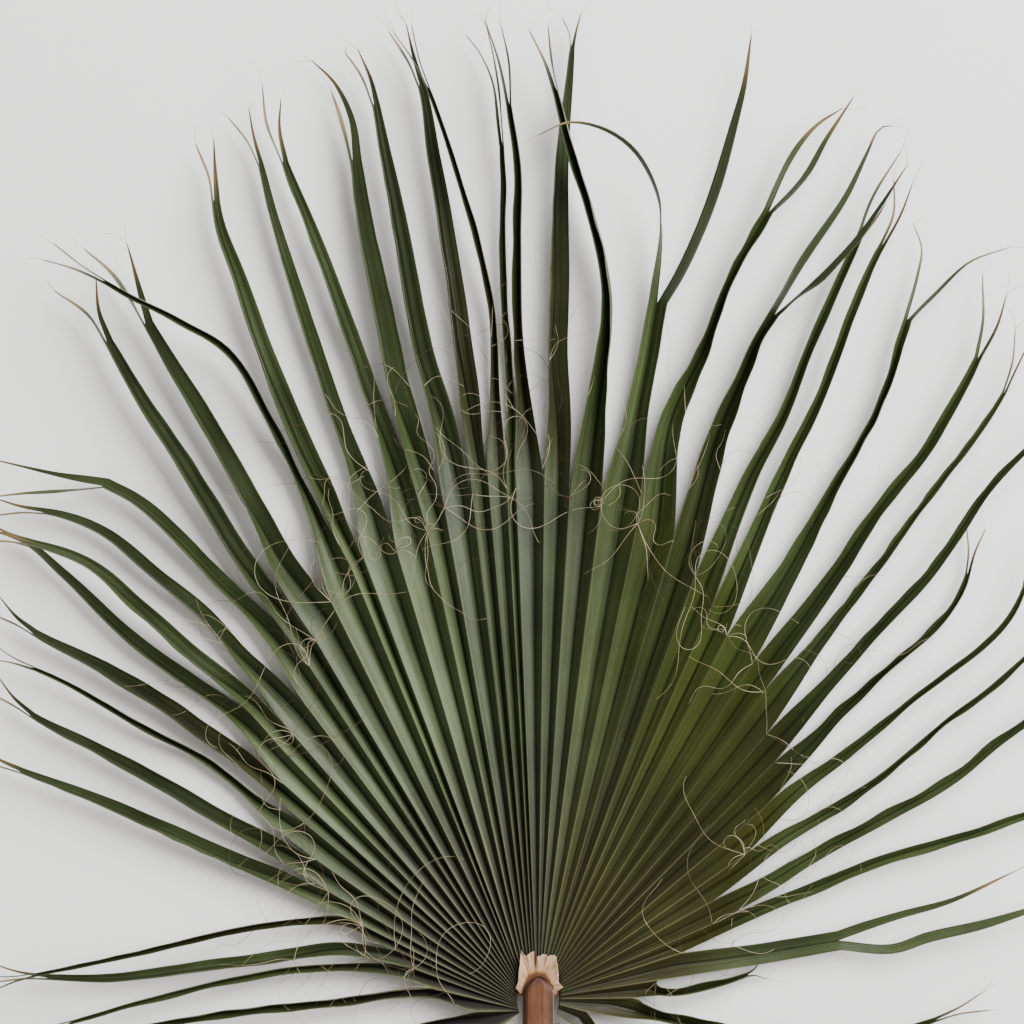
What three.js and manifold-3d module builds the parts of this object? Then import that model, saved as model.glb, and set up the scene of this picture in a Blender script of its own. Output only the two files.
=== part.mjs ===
import * as THREE from "three";
import { mergeVertices } from "three/addons/utils/BufferGeometryUtils.js";
import Module from "manifold-3d";

const wasm = await Module();
wasm.setup();

// Fan palm leaf, cut, lying with its upper side up. Sizes are in millimetres.
// X runs across the fan, Y from the stalk to the longest tips, Z up.
// The origin is on the flat underside of the stalk, below the point where the pleats meet.

// Leaf sheet
const SHEET = 0.8;
const PLEAT_DROP = 1.1;
const PLEAT_STEPS = 5;
const FREE_STEPS = 9;
const PRONG_PITCH = 45;
const TIP_WIDTH = 1.4;
const FORK_AT = 0.86;
const PRONG_SPREAD = 9;
const TURN_OVER = 0.34;
const NARROW_OVER = 0.16;
const TAPER = 3;

// Hub where the pleats start, and how the fan comes down to the ground round it
const HUB_SIDE = 21;
const HUB_FRONT = 27;
const HUB_HEIGHT = 12;
const GROUND_RADIUS = 340;
const MIDDLE_SPLIT = 25;
const LEFT_ROOT_STEP = 5.1;

// Slope of the pleat faces in degrees, steep on the left and flatter on the right
const SLOPE_LEFT = 50;
const SLOPE_RIGHT = 32;

// Stalk
const STALK_WIDTH = 31;
const STALK_HEIGHT = 22;
const STALK_LENGTH = 210;
const TONGUE_REACH = 22;
const TONGUE_START = 6;
const STALK_SIDES = 20;
const HEAD_BOTTOM = 3;
const HEAD_TOP = 15.2;
const THORN_LENGTH = 7;
const THORN_WIDTH = 6;

// Edge thorns: side of the stalk and place along it
const THORNS = [[1, -27], [-1, -62], [1, -84], [-1, -118], [1, -141], [-1, -172], [1, -190]];

// Collar
const COLLAR_SHEET = 1.2;
const COLLAR_BASE = 15.5;
const COLLAR_RISE = 4.5;
const GAP = 0.3;

// Where neighbouring segments part: degrees from +Y towards +X, and distance from the hub.
const SPLITS = [
  [-127, 45], [-101, 60], [-85, 92], [-76, 128], [-71, 150], [-67.2, 190], [-62.8, 235], [-57.8, 262],
  [-53, 292], [-49.8, 333], [-45.8, 348], [-42.8, 360], [-38.3, 373], [-34.5, 403], [-31.8, 420],
  [-27.5, 447], [-23.4, 460], [-21.6, 474], [-17.5, 468], [-13.3, 480], [-10.8, 499], [-7.4, 508],
  [-5.5, 528], [-3.5, 510], [-2.5, 510], [0.7, 512], [3.6, 502], [7.2, 500], [11.8, 485], [16.4, 480],
  [20.4, 450], [23.9, 428], [27.5, 408], [32.6, 397], [36.3, 380], [40.8, 349], [45, 333], [49.8, 295],
  [55.1, 252], [60.7, 200], [66.8, 189], [72.1, 150], [81, 120], [89, 95], [104, 50], [128, 40],
];

// Ways a free segment can lie: mean direction of the trough's two halves and the angle between them.
const ROLLED = { lay: 58, gape: 80 };
const CLOSED = { lay: 90, gape: 40 };
const TROUGH = { lay: 90, gape: 52 };
const OPEN = { lay: 90, gape: 146 };

// The free parts from left to right: points of the midrib, how it lies, how far the tip lifts and how wide
// each half is.
// A segment with deep prongs also has the points of its left and right prong.
const SEGMENTS = [
  { form: CLOSED, lift: 12, wide: 10, path: [[-108, -26], [-230, -62], [-400, -100]] },
  { form: CLOSED, lift: 10, wide: 10, path: [[-114, 7], [-212, -4], [-342, -20], [-500, -46]] },
  { form: CLOSED, lift: 16, wide: 8, path: [[-145, 30], [-203, 32], [-265, 27], [-395, -4], [-520, -38]] },
  {
    form: ROLLED, lift: 14, wide: 10,
    path: [[-170, 48], [-211, 50], [-293, 39], [-391, 25], [-445, 21], [-545, 27]],
  },
  { form: CLOSED, lift: 46, wide: 7, path: [[-198, 78], [-240, 77], [-300, 68], [-407, 45], [-550, 16]] },
  { form: ROLLED, lift: 20, wide: 12, path: [[-244, 114], [-355, 163], [-440, 200], [-565, 248]] },
  {
    form: ROLLED, lift: 16, wide: 13,
    path: [[-277, 159], [-375, 215], [-440, 251], [-505, 284], [-545, 316]],
  },
  {
    form: CLOSED, lift: 24, wide: 8,
    path: [[-270, 189], [-329, 235], [-385, 267], [-479, 319], [-550, 349]],
  },
  {
    form: ROLLED, lift: 16, wide: 15,
    path: [[-290, 235], [-362, 287], [-430, 329], [-499, 365], [-542, 394]],
  },
  {
    form: ROLLED, lift: 12, wide: 12,
    path: [[-309, 290], [-407, 362], [-473, 424], [-515, 458], [-560, 462]],
  },
  {
    form: ROLLED, lift: 44, wide: 14,
    path: [[-280, 290], [-342, 342], [-401, 398], [-447, 435], [-550, 468]],
  },
  {
    form: ROLLED, lift: 16, wide: 12,
    path: [[-290, 336], [-329, 382], [-381, 424], [-430, 465], [-476, 484], [-545, 491]],
  },
  {
    form: ROLLED, lift: 22, wide: 13,
    path: [[-267, 365], [-309, 411], [-355, 457], [-400, 498], [-430, 516]],
    left: [[-489, 511], [-560, 499]], right: [[-470, 523], [-560, 541]],
  },
  {
    form: ROLLED, lift: 30, wide: 16,
    path: [[-277, 414], [-323, 486], [-362, 551], [-398, 606], [-427, 655]],
    left: [[-448, 686], [-481, 707]], right: [[-438, 685], [-440, 720]],
  },
  {
    form: ROLLED, lift: 20, wide: 17,
    path: [[-253, 432], [-280, 486], [-333, 583], [-365, 636], [-388, 674]],
    left: [[-420, 722], [-452, 748]], right: [[-398, 704], [-411, 753]],
  },
  {
    form: CLOSED, lift: 62, wide: 10,
    path: [[-225, 489], [-267, 577], [-306, 642], [-355, 675], [-417, 706], [-485, 743]],
  },
  {
    form: ROLLED, lift: 18, wide: 17,
    path: [[-204, 486], [-254, 600], [-296, 714], [-316, 770], [-324, 828], [-331, 856]],
  },
  {
    form: ROLLED, lift: 16, wide: 13,
    path: [[-172, 505], [-200, 583], [-236, 694], [-265, 786], [-276, 832]],
    left: [[-290, 860], [-308, 880]], right: [[-283, 858], [-288, 888]],
  },
  {
    form: ROLLED, lift: 20, wide: 14, path: [[-150, 557], [-182, 652], [-221, 756], [-251, 834]],
    left: [[-268, 874], [-275, 911]], right: [[-258, 868], [-257, 897]],
  },
  {
    form: ROLLED, lift: 16, wide: 19, path: [[-125, 557], [-149, 662], [-169, 760], [-181, 835]],
    left: [[-194, 880], [-206, 906]], right: [[-187, 878], [-204, 914], [-226, 936]],
  },
  {
    form: ROLLED, lift: 22, wide: 17,
    path: [[-87, 541], [-114, 655], [-136, 763], [-153, 851], [-160, 890]],
    left: [[-175, 924], [-192, 944]], right: [[-167, 918], [-180, 947]],
  },
  {
    form: ROLLED, lift: 16, wide: 16,
    path: [[-67, 580], [-76, 680], [-91, 763], [-103, 835], [-115, 910], [-140, 969]],
  },
  {
    form: CLOSED, lift: 48, wide: 8,
    path: [[-43, 620], [-46, 681], [-61, 758], [-81, 825], [-104, 890], [-134, 965]],
  },
  {
    form: CLOSED, lift: 18, wide: 8, path: [[-26, 590], [-31, 666], [-37, 758], [-36, 810], [-36, 850]],
    left: [[-43, 914], [-57, 944], [-71, 961]], right: [[-38, 896], [-44, 937], [-52, 970]],
  },
  {
    form: CLOSED, lift: 46, wide: 12, path: [[-13, 590], [-20, 666], [-21, 758], [-21, 827], [-30, 890]],
    left: [[-38, 930], [-52, 974]], right: [[-31, 932], [-37, 967]],
  },
  {
    form: ROLLED, lift: 14, wide: 17, path: [[20, 605], [21, 712], [22, 758], [27, 850], [33, 950]],
    left: [[31, 964], [24, 977]], right: [[36, 965], [41, 983]],
  },
  {
    form: CLOSED, lift: 46, wide: 19,
    path: [[54, 545], [64, 640], [67, 700], [53, 778], [30, 850], [14, 912], [1, 966]],
  },
  {
    form: TROUGH, lift: 24, wide: 22, path: [[100, 590], [113, 650], [121, 695]],
    left: [[124, 740], [123, 772], [117, 801], [95, 841], [66, 863], [30, 871], [0, 859]], leftLift: 84,
    right: [[136, 722], [158, 774], [190, 870], [204, 914], [213, 961]],
  },
  {
    form: TROUGH, lift: 20, wide: 24, path: [[132, 575], [165, 650], [194, 722], [230, 786]],
    left: [[253, 835], [277, 869], [303, 889]], right: [[262, 820], [286, 861], [313, 901]],
  },
  {
    form: TROUGH, lift: 18, wide: 24, path: [[179, 559], [201, 614], [216, 652], [234, 684]],
    left: [[263, 731], [310, 800], [329, 841], [342, 868], [353, 870]],
    right: [[286, 730], [318, 764], [366, 830]], rightLift: 60,
  },
  {
    form: TROUGH, lift: 16, wide: 17, path: [[212, 522], [245, 585], [270, 647], [297, 706], [321, 760]],
    left: [[334, 798], [361, 846]], right: [[334, 776], [346, 794]],
  },
  {
    form: TROUGH, lift: 26, wide: 16,
    path: [[252, 541], [278, 596], [300, 651], [336, 738], [355, 776], [363, 815]],
  },
  {
    form: TROUGH, lift: 14, wide: 19, path: [[258, 440], [296, 512], [343, 599], [369, 678]],
    left: [[380, 722], [383, 750], [374, 773]], right: [[393, 703], [430, 737], [471, 751]],
  },
  {
    form: TROUGH, lift: 18, wide: 18,
    path: [[262, 376], [306, 436], [340, 490], [387, 548], [413, 592], [438, 640]],
    left: [[446, 680], [445, 722]], right: [[457, 672], [468, 702]],
  },
  {
    form: TROUGH, lift: 16, wide: 11,
    path: [[300, 380], [387, 497], [420, 541], [446, 577], [470, 615], [486, 666]],
  },
  {
    form: TROUGH, lift: 30, wide: 12,
    path: [[267, 289], [303, 329], [347, 376], [395, 431], [460, 522], [540, 598]],
  },
  {
    form: TROUGH, lift: 8, wide: 13,
    path: [[268, 250], [303, 287], [340, 321], [409, 385], [426, 413], [434, 446], [438, 470]],
  },
  {
    form: TROUGH, lift: 18, wide: 12,
    path: [[262, 211], [300, 239], [387, 307], [460, 369], [482, 405], [498, 468]],
  },
  {
    form: TROUGH, lift: 14, wide: 12,
    path: [[245, 160], [278, 179], [325, 208], [413, 281], [453, 310], [545, 398]],
  },
  {
    form: TROUGH, lift: 16, wide: 13,
    path: [[235, 118], [267, 138], [322, 168], [413, 219], [457, 256], [590, 350]],
  },
  { form: TROUGH, lift: 14, wide: 12, path: [[230, 93], [325, 132], [431, 163], [482, 181], [615, 222]] },
  {
    form: OPEN, lift: 22, wide: 11, path: [[200, 42], [300, 58]],
    left: [[360, 80], [412, 97], [476, 128]], right: [[352, 55], [388, 70], [450, 82], [535, 104]],
  },
  { form: CLOSED, lift: 4, wide: 10, path: [[135, 8], [180, 16], [225, 28]] },
  { form: CLOSED, lift: 10, wide: 13, path: [[105, -13], [157, -23], [262, -40], [362, -31], [447, -3]] },
  { form: CLOSED, lift: 8, wide: 12, path: [[54, -36], [84, -92], [122, -170], [140, -262]] },
];

// Outer edge of the collar from the lower left round the ragged top to the lower right, seen from above
const COLLAR_EDGE = [
  [-20, 8], [-19.5, 24], [-18.5, 38], [-17, 49], [-12, 42], [-8, 47.5], [-3.5, 49], [-0.5, 42],
  [4, 44.5], [11, 44], [18, 43.5], [20, 34], [21.5, 22], [21.5, 8],
];

const radians = THREE.MathUtils.degToRad;
const mix = THREE.MathUtils.lerp;
const ease = THREE.MathUtils.smoothstep;

function polar(degrees, radius) {
  return new THREE.Vector2(Math.sin(radians(degrees)), Math.cos(radians(degrees))).multiplyScalar(radius);
}

function hubRadius(degrees) {
  return mix(HUB_SIDE, HUB_FRONT, Math.cos(radians(degrees)) ** 2);
}

// Direction in which a split leaves the hub: evenly spread on the left, straight on the right
function rootAngle(split) {
  const middle = SPLITS[MIDDLE_SPLIT][0];
  return split < MIDDLE_SPLIT ? middle - LEFT_ROOT_STEP * (MIDDLE_SPLIT - split) : SPLITS[split][0];
}

// Height of the trough bottoms over the ground
function valleyHeight(radius) {
  return PLEAT_DROP + HUB_HEIGHT * (1 - ease(radius, HUB_SIDE, GROUND_RADIUS));
}

function slopeAt(degrees) {
  return Math.tan(radians(mix(SLOPE_LEFT, SLOPE_RIGHT, ease(degrees, -5, 40))));
}

// A smooth line through hand-set points, read by its length from 0 to 1
function lineThrough(points) {
  const spots = points.map(([x, y]) => new THREE.Vector3(x, y, 0));
  return new THREE.CatmullRomCurve3(spots, false, "centripetal");
}

function meshOf(spots, faces) {
  const numbers = spots.flatMap((spot) => spot.toArray());
  const made = new THREE.BufferGeometry();
  made.setAttribute("position", new THREE.Float32BufferAttribute(numbers, 3));
  made.setIndex(faces.flat());
  return made;
}

// Corners and triangles of one growing mesh
class Sheet {
  constructor() {
    this.spots = [];
    this.faces = [];
  }

  // A pair of corners, upper and lower
  pair(top, drop) {
    this.spots.push(top, top.clone().add(drop));
    return this.spots.length - 2;
  }

  // A four-cornered patch of both faces with the same diagonal; corners run left, right, right on, left on
  patch(a, b, c, d) {
    this.faces.push([a, b, c], [a, c, d], [a + 1, c + 1, b + 1], [a + 1, d + 1, c + 1]);
  }

  // A strip of rim from pair a to pair b, with the sheet on its right
  rim(a, b) {
    this.faces.push([a, b, b + 1], [a, b + 1, a + 1]);
  }

  geometry() {
    return meshOf(this.spots, this.faces);
  }
}

const DOWN = new THREE.Vector3(0, 0, -PLEAT_DROP);

// Ridges between the segments, from the hub to the split; each station is a pair of corners
function ridgeLine(sheet, k) {
  const root = polar(rootAngle(k), hubRadius(rootAngle(k)));
  const end = polar(...SPLITS[k]);
  const near = Math.max(k - 1, 0);
  const far = Math.min(k + 1, SPLITS.length - 1);
  const pairs = [];
  for (let j = 0; j <= PLEAT_STEPS; j++) {
    const part = (j / PLEAT_STEPS) ** 1.3;
    const spot = root.clone().lerp(end, part);
    const radius = spot.length();
    const nearSide = polar(mix(rootAngle(near), SPLITS[near][0], part), radius);
    const farSide = polar(mix(rootAngle(far), SPLITS[far][0], part), radius);
    const pitch = nearSide.distanceTo(farSide) / (far - near);
    const height = valleyHeight(radius) + (pitch / 2) * slopeAt(SPLITS[k][0]);
    pairs.push(sheet.pair(new THREE.Vector3(spot.x, spot.y, height), DOWN));
  }
  return pairs;
}

// The midrib of one segment inside the pleats
function midribLine(sheet, i) {
  const angle = (rootAngle(i) + rootAngle(i + 1)) / 2;
  const root = polar(angle, hubRadius(angle));
  const gate = polar(...SPLITS[i]).add(polar(...SPLITS[i + 1])).multiplyScalar(0.5);
  const pairs = [];
  for (let j = 0; j <= PLEAT_STEPS; j++) {
    const spot = root.clone().lerp(gate, (j / PLEAT_STEPS) ** 1.3);
    pairs.push(sheet.pair(new THREE.Vector3(spot.x, spot.y, valleyHeight(spot.length())), DOWN));
  }
  return pairs;
}

// Points of a prong that no hand-set points describe: it follows the midrib and bends away from it
function plainProng(curve, side) {
  return [0.5, 1].map((part) => {
    const spot = curve.getPointAt(mix(FORK_AT, 1, part));
    const along = curve.getTangentAt(mix(FORK_AT, 1, part));
    const away = side * PRONG_SPREAD * part ** 2;
    return [spot.x + along.y * away, spot.y - along.x * away];
  });
}

// Axes across a line: to its right, and up
function axesOf(along) {
  const right = new THREE.Vector3(along.y, -along.x, 0).normalize();
  const up = new THREE.Vector3().crossVectors(right, along).normalize();
  const turn = (angle) => {
    return right.clone().multiplyScalar(Math.cos(angle)).addScaledVector(up, Math.sin(angle));
  };
  return { right, up, turn };
}

// One half of a free segment: how its edge leaves the split and turns into the way it lies
class Half {
  constructor(side, row, edge, along) {
    const { right, up } = axesOf(along);
    this.side = side;
    this.wide = row.wide;
    this.start = Math.atan2(edge.dot(up), edge.dot(right));
    this.goal = radians(row.form.lay - (side * row.form.gape) / 2);
    this.width = Math.hypot(edge.dot(up), edge.dot(right));
    this.slide = edge.dot(along);
  }

  angleAt(part) {
    return mix(this.start, this.goal, ease(part, 0, TURN_OVER));
  }

  // The free part soon comes to its own width, then tapers to the tip
  widthAt(part) {
    const full = mix(this.width, this.wide, ease(part, 0, NARROW_OVER));
    return mix(TIP_WIDTH, full, 1 - part ** TAPER);
  }

  // Outer corner of the half at a station whose inner corner is known
  outer(sheet, inner, along, part) {
    const settled = ease(part, 0, TURN_OVER);
    const { turn } = axesOf(along);
    const angle = this.angleAt(part);
    const spot = inner.clone().addScaledVector(turn(angle), this.widthAt(part));
    spot.addScaledVector(along, this.slide * (1 - ease(part, 0, NARROW_OVER)));
    const drop = turn(angle - (this.side * Math.PI) / 2).multiplyScalar(SHEET);
    return sheet.pair(spot, DOWN.clone().lerp(drop, settled));
  }
}

// The free part of one segment, from its two splits to the tips of its two prongs
function freeSegment(sheet, i, gatePair, leftEnd, rightEnd) {
  const row = SEGMENTS[i];
  const gate = sheet.spots[gatePair];
  const curve = lineThrough([[gate.x, gate.y], ...row.path]);
  const forkAt = row.left ? 1 : FORK_AT;
  const fork = curve.getPointAt(forkAt);
  const common = curve.getLength() * forkAt;
  const start = curve.getTangentAt(0);
  const sides = [-1, 1].map((side) => {
    const points = (side < 0 ? row.left : row.right) ?? plainProng(curve, side);
    const prong = lineThrough([[fork.x, fork.y], ...points]);
    const edge = sheet.spots[side < 0 ? leftEnd : rightEnd].clone().sub(gate);
    const tip = PLEAT_DROP + ((side < 0 ? row.leftLift : row.rightLift) ?? row.lift);
    const half = new Half(side, row, edge, start);
    return { prong, tip, half, length: common + prong.getLength() };
  });
  const [left, right] = sides;
  const forkPart = common / ((left.length + right.length) / 2);
  const heightAt = (part) => mix(gate.z, PLEAT_DROP + row.lift, part ** 1.4);

  let now = { inner: gatePair, left: leftEnd, right: rightEnd };
  let shift = 0;
  for (let j = 1; j <= FREE_STEPS; j++) {
    const u = (j / FREE_STEPS) * forkAt;
    const part = (j / FREE_STEPS) * forkPart;
    const settled = ease(part, 0, TURN_OVER);
    const along = curve.getTangentAt(u);
    const angles = sides.map(({ half }) => half.angleAt(part));
    const { right: across, turn } = axesOf(along);
    const lean = sides.map(({ half }, k) => half.widthAt(part) * Math.cos(angles[k]));
    shift = (-settled * (lean[0] + lean[1])) / 2;
    const spot = curve.getPointAt(u).addScaledVector(across, shift).setZ(heightAt(part));
    const fold = (angles[0] - angles[1]) / 2;
    const drop = turn((angles[0] + angles[1]) / 2).multiplyScalar(-SHEET / Math.sin(fold));
    const next = { inner: sheet.pair(spot, DOWN.clone().lerp(drop, settled)) };
    next.left = left.half.outer(sheet, spot, along, part);
    next.right = right.half.outer(sheet, spot, along, part);
    sheet.patch(now.left, now.inner, next.inner, next.left);
    sheet.patch(now.inner, now.right, next.right, next.inner);
    sheet.rim(now.left, next.left);
    sheet.rim(next.right, now.right);
    now = next;
  }
  for (const { prong, tip, half } of sides) {
    const outer = half.side < 0 ? now.left : now.right;
    growProng(sheet, half, prong, outer, now.inner, { forkPart, shift, tip });
  }
}

// One prong of a forked tip
function growProng(sheet, half, prong, outerStart, innerStart, { forkPart, shift, tip }) {
  const bottom = sheet.spots[innerStart].z;
  const steps = 2 + Math.ceil(prong.getLength() / PRONG_PITCH);
  let inner = innerStart;
  let outer = outerStart;
  for (let j = 1; j <= steps; j++) {
    const v = j / steps;
    const part = mix(forkPart, 1, v);
    const along = prong.getTangentAt(v);
    const { right, turn } = axesOf(along);
    const spot = prong.getPointAt(v).addScaledVector(right, shift * (1 - v));
    spot.z = mix(bottom, tip, v ** 1.2);
    const drop = turn(half.angleAt(part) - (half.side * Math.PI) / 2).multiplyScalar(SHEET);
    const nextInner = sheet.pair(spot, drop);
    const nextOuter = half.outer(sheet, spot, along, part);
    if (half.side < 0) {
      sheet.patch(outer, inner, nextInner, nextOuter);
      sheet.rim(outer, nextOuter);
      sheet.rim(nextInner, inner);
    } else {
      sheet.patch(inner, outer, nextOuter, nextInner);
      sheet.rim(nextOuter, outer);
      sheet.rim(inner, nextInner);
    }
    inner = nextInner;
    outer = nextOuter;
  }
  sheet.rim(half.side < 0 ? outer : inner, half.side < 0 ? inner : outer);
}

function makeBlade() {
  const sheet = new Sheet();
  const ridges = SPLITS.map((_, k) => ridgeLine(sheet, k));
  SEGMENTS.forEach((_, i) => {
    const midrib = midribLine(sheet, i);
    const left = ridges[i];
    const right = ridges[i + 1];
    sheet.rim(midrib[0], left[0]);
    sheet.rim(right[0], midrib[0]);
    for (let j = 0; j < PLEAT_STEPS; j++) {
      sheet.patch(left[j], midrib[j], midrib[j + 1], left[j + 1]);
      sheet.patch(midrib[j], right[j], right[j + 1], midrib[j + 1]);
    }
    freeSegment(sheet, i, midrib[PLEAT_STEPS], left[PLEAT_STEPS], right[PLEAT_STEPS]);
  });
  const first = ridges[0];
  const last = ridges[ridges.length - 1];
  for (let j = 0; j < PLEAT_STEPS; j++) {
    sheet.rim(first[j], first[j + 1]);
    sheet.rim(last[j + 1], last[j]);
  }
  return sheet.geometry();
}

// Cross-section of the stalk: nearly flat on top, rounded below with a flat strip to rest on
function stalkSection(y, halfWidth, height) {
  const points = [];
  for (let k = 0; k < STALK_SIDES; k++) {
    const angle = (2 * Math.PI * k) / STALK_SIDES;
    const c = Math.cos(angle);
    const s = Math.sin(angle);
    const x = halfWidth * Math.sign(c) * Math.abs(c) ** 0.8;
    const rise = s > 0 ? height * 0.32 * s ** 0.7 : height * 0.76 * s;
    points.push(new THREE.Vector3(x, y, Math.max(0, height * 0.68 + rise)));
  }
  return points;
}

// A closed body through rings of corners of equal count, seen anticlockwise from the first ring
function loft(rings) {
  const count = rings[0].length;
  const spots = rings.flat();
  const faces = [];
  for (let r = 0; r + 1 < rings.length; r++) {
    for (let k = 0; k < count; k++) {
      const a = r * count + k;
      const b = r * count + ((k + 1) % count);
      faces.push([a, b + count, b], [a, a + count, b + count]);
    }
  }
  const lastRing = (rings.length - 1) * count;
  for (let k = 1; k + 1 < count; k++) {
    faces.push([0, k, k + 1], [lastRing, lastRing + k + 1, lastRing + k]);
  }
  return meshOf(spots, faces);
}

function solidOf(geometry) {
  const clean = geometry.clone();
  clean.deleteAttribute("normal");
  clean.deleteAttribute("uv");
  const merged = mergeVertices(clean, 1e-4);
  const vertProperties = new Float32Array(merged.attributes.position.array);
  const triVerts = new Uint32Array(merged.index.array);
  return new wasm.Manifold(new wasm.Mesh({ numProp: 3, vertProperties, triVerts }));
}

function geometryOf(solid) {
  const mesh = solid.getMesh();
  const made = new THREE.BufferGeometry();
  made.setAttribute("position", new THREE.BufferAttribute(mesh.vertProperties, 3));
  made.setIndex(new THREE.BufferAttribute(mesh.triVerts, 1));
  return made;
}

// Half the width of the stalk's rounded end at a distance along it
function tongueHalf(y) {
  const part = Math.max(0, y - TONGUE_START) / (TONGUE_REACH - TONGUE_START);
  return (STALK_WIDTH / 2) * Math.sqrt(Math.max(0, 1 - part ** 2));
}

function makeStalk() {
  const rings = [];
  for (const y of [-STALK_LENGTH, -140, -70, -20, TONGUE_START]) {
    rings.push(stalkSection(y, STALK_WIDTH / 2 + 1.2 * ease(-y, 60, STALK_LENGTH), STALK_HEIGHT));
  }
  for (const part of [0.35, 0.6, 0.8, 0.93, 0.985]) {
    const y = mix(TONGUE_START, TONGUE_REACH, part);
    rings.push(stalkSection(y, tongueHalf(y), STALK_HEIGHT - 2 * part ** 3));
  }
  let stalk = solidOf(loft(rings));

  const floor = [];
  for (let angle = -130; angle <= 130; angle += 10) {
    floor.push(polar(angle, hubRadius(angle) - GAP));
  }
  const ringAt = (z) => floor.map((p) => new THREE.Vector3(p.x, p.y, z));
  stalk = stalk.add(solidOf(loft([ringAt(HEAD_BOTTOM), ringAt(HEAD_TOP)])));

  for (const [side, y] of THORNS) {
    const thorn = new THREE.ConeGeometry(THORN_WIDTH / 2, THORN_LENGTH + 3, 7);
    thorn.translate(0, (THORN_LENGTH + 3) / 2 - 3, 0);
    thorn.scale(1, 1, 0.6);
    thorn.rotateZ(-side * radians(72));
    thorn.translate(side * (STALK_WIDTH / 2), y, STALK_HEIGHT * 0.7);
    stalk = stalk.add(solidOf(thorn));
  }
  return geometryOf(stalk);
}

// Papery collar round the end of the stalk, rising towards its ragged edge
function makeCollar() {
  const sheet = new Sheet();
  const down = new THREE.Vector3(0, 0, -COLLAR_SHEET);
  const last = COLLAR_EDGE.length - 1;
  const rows = [0, 0.5, 1].map((out) =>
    COLLAR_EDGE.map(([x, y], k) => {
      const angle = mix(Math.PI - 0.12, 0.12, k / last);
      const innerX = (STALK_WIDTH / 2 + GAP) * Math.cos(angle);
      const innerY = TONGUE_START + (TONGUE_REACH - TONGUE_START + GAP) * Math.sin(angle);
      const lift = COLLAR_SHEET + COLLAR_RISE * out ** 1.5 * ease(y, 4, 44);
      const spot = new THREE.Vector3(mix(innerX, x, out), mix(innerY, y, out), COLLAR_BASE + lift);
      return sheet.pair(spot, down);
    }),
  );
  for (let r = 0; r < 2; r++) {
    for (let k = 0; k < last; k++) {
      sheet.patch(rows[r][k], rows[r][k + 1], rows[r + 1][k + 1], rows[r + 1][k]);
    }
    sheet.rim(rows[r][0], rows[r + 1][0]);
    sheet.rim(rows[r + 1][last], rows[r][last]);
  }
  for (let k = 0; k < last; k++) {
    sheet.rim(rows[0][k + 1], rows[0][k]);
    sheet.rim(rows[2][k], rows[2][k + 1]);
  }
  return sheet.geometry();
}

function named(name, geometry, color, roughness) {
  const mesh = new THREE.Mesh(geometry, new THREE.MeshStandardMaterial({ color, roughness, metalness: 0 }));
  mesh.name = name;
  return mesh;
}

const leaf = new THREE.Group();
leaf.name = "fan_palm_leaf";
leaf.add(named("blade", makeBlade(), 0x4c5b31, 0.5));
leaf.add(named("petiole", makeStalk(), 0x74412a, 0.55));
leaf.add(named("hastula", makeCollar(), 0xd8c09a, 0.85));

export default leaf;
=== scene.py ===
"""Dresses the fan palm leaf: pleated blade, curled threads, papery collar and stalk.

Tables and sizes are in millimetres and degrees; meshes are made in metres in the frame of the solids.
"""

import logging
import math
from dataclasses import dataclass, field
from enum import Enum
from typing import ClassVar, Optional, Sequence, Union

import bpy
import numpy as np
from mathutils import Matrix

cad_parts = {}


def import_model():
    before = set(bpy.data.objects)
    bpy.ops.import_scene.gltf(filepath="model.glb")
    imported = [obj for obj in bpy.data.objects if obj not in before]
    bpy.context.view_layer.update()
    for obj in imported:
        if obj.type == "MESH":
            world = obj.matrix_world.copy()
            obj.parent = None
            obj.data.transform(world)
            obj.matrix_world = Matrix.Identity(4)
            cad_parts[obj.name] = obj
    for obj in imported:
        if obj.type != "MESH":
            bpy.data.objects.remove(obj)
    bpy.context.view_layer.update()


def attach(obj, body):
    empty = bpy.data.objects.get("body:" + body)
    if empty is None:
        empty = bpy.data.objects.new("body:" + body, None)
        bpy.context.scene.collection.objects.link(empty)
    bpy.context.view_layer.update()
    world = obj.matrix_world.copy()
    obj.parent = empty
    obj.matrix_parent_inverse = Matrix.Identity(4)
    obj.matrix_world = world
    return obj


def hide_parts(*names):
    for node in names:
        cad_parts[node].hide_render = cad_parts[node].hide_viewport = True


LOG = logging.getLogger("fan_palm_leaf")
MM = 0.001
UP = np.array([0.0, 0.0, 1.0])

# A face with this many corners or more closes an end and stays flat.
END_CORNERS = 9

Array = np.ndarray
Colour = tuple[float, float, float]
Point = tuple[float, float]
Range = tuple[float, float]
Grain = tuple[float, float, float]
Socket = bpy.types.NodeSocket
Value = Union[float, Socket]
Tint = Union[Colour, Socket]


class Lie(Enum):
    """Ways a free segment lies.

    Each holds the mean direction of the trough's two halves, the angle between them, and the share of
    the width that shows the right breadth from above.
    """

    ROLLED = (58.0, 80.0, 1.0)
    CLOSED = (102.0, 44.0, 1.0)
    TROUGH = (90.0, 76.0, 0.72)
    OPEN = (90.0, 146.0, 1.0)


# How far the halves lean out from upright in the prongs, in degrees.
PRONG_LEAN: dict[Lie, float] = {Lie.ROLLED: 58.0, Lie.CLOSED: 32.0, Lie.TROUGH: 60.0, Lie.OPEN: 74.0}

# How far a trough leans to the left of its lie where it closes, in degrees.
PINCH_LEAN = 10.0


class Side(Enum):
    """The two halves of a segment, seen from above with the tip ahead."""

    LEFT = -1
    RIGHT = 1


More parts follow.
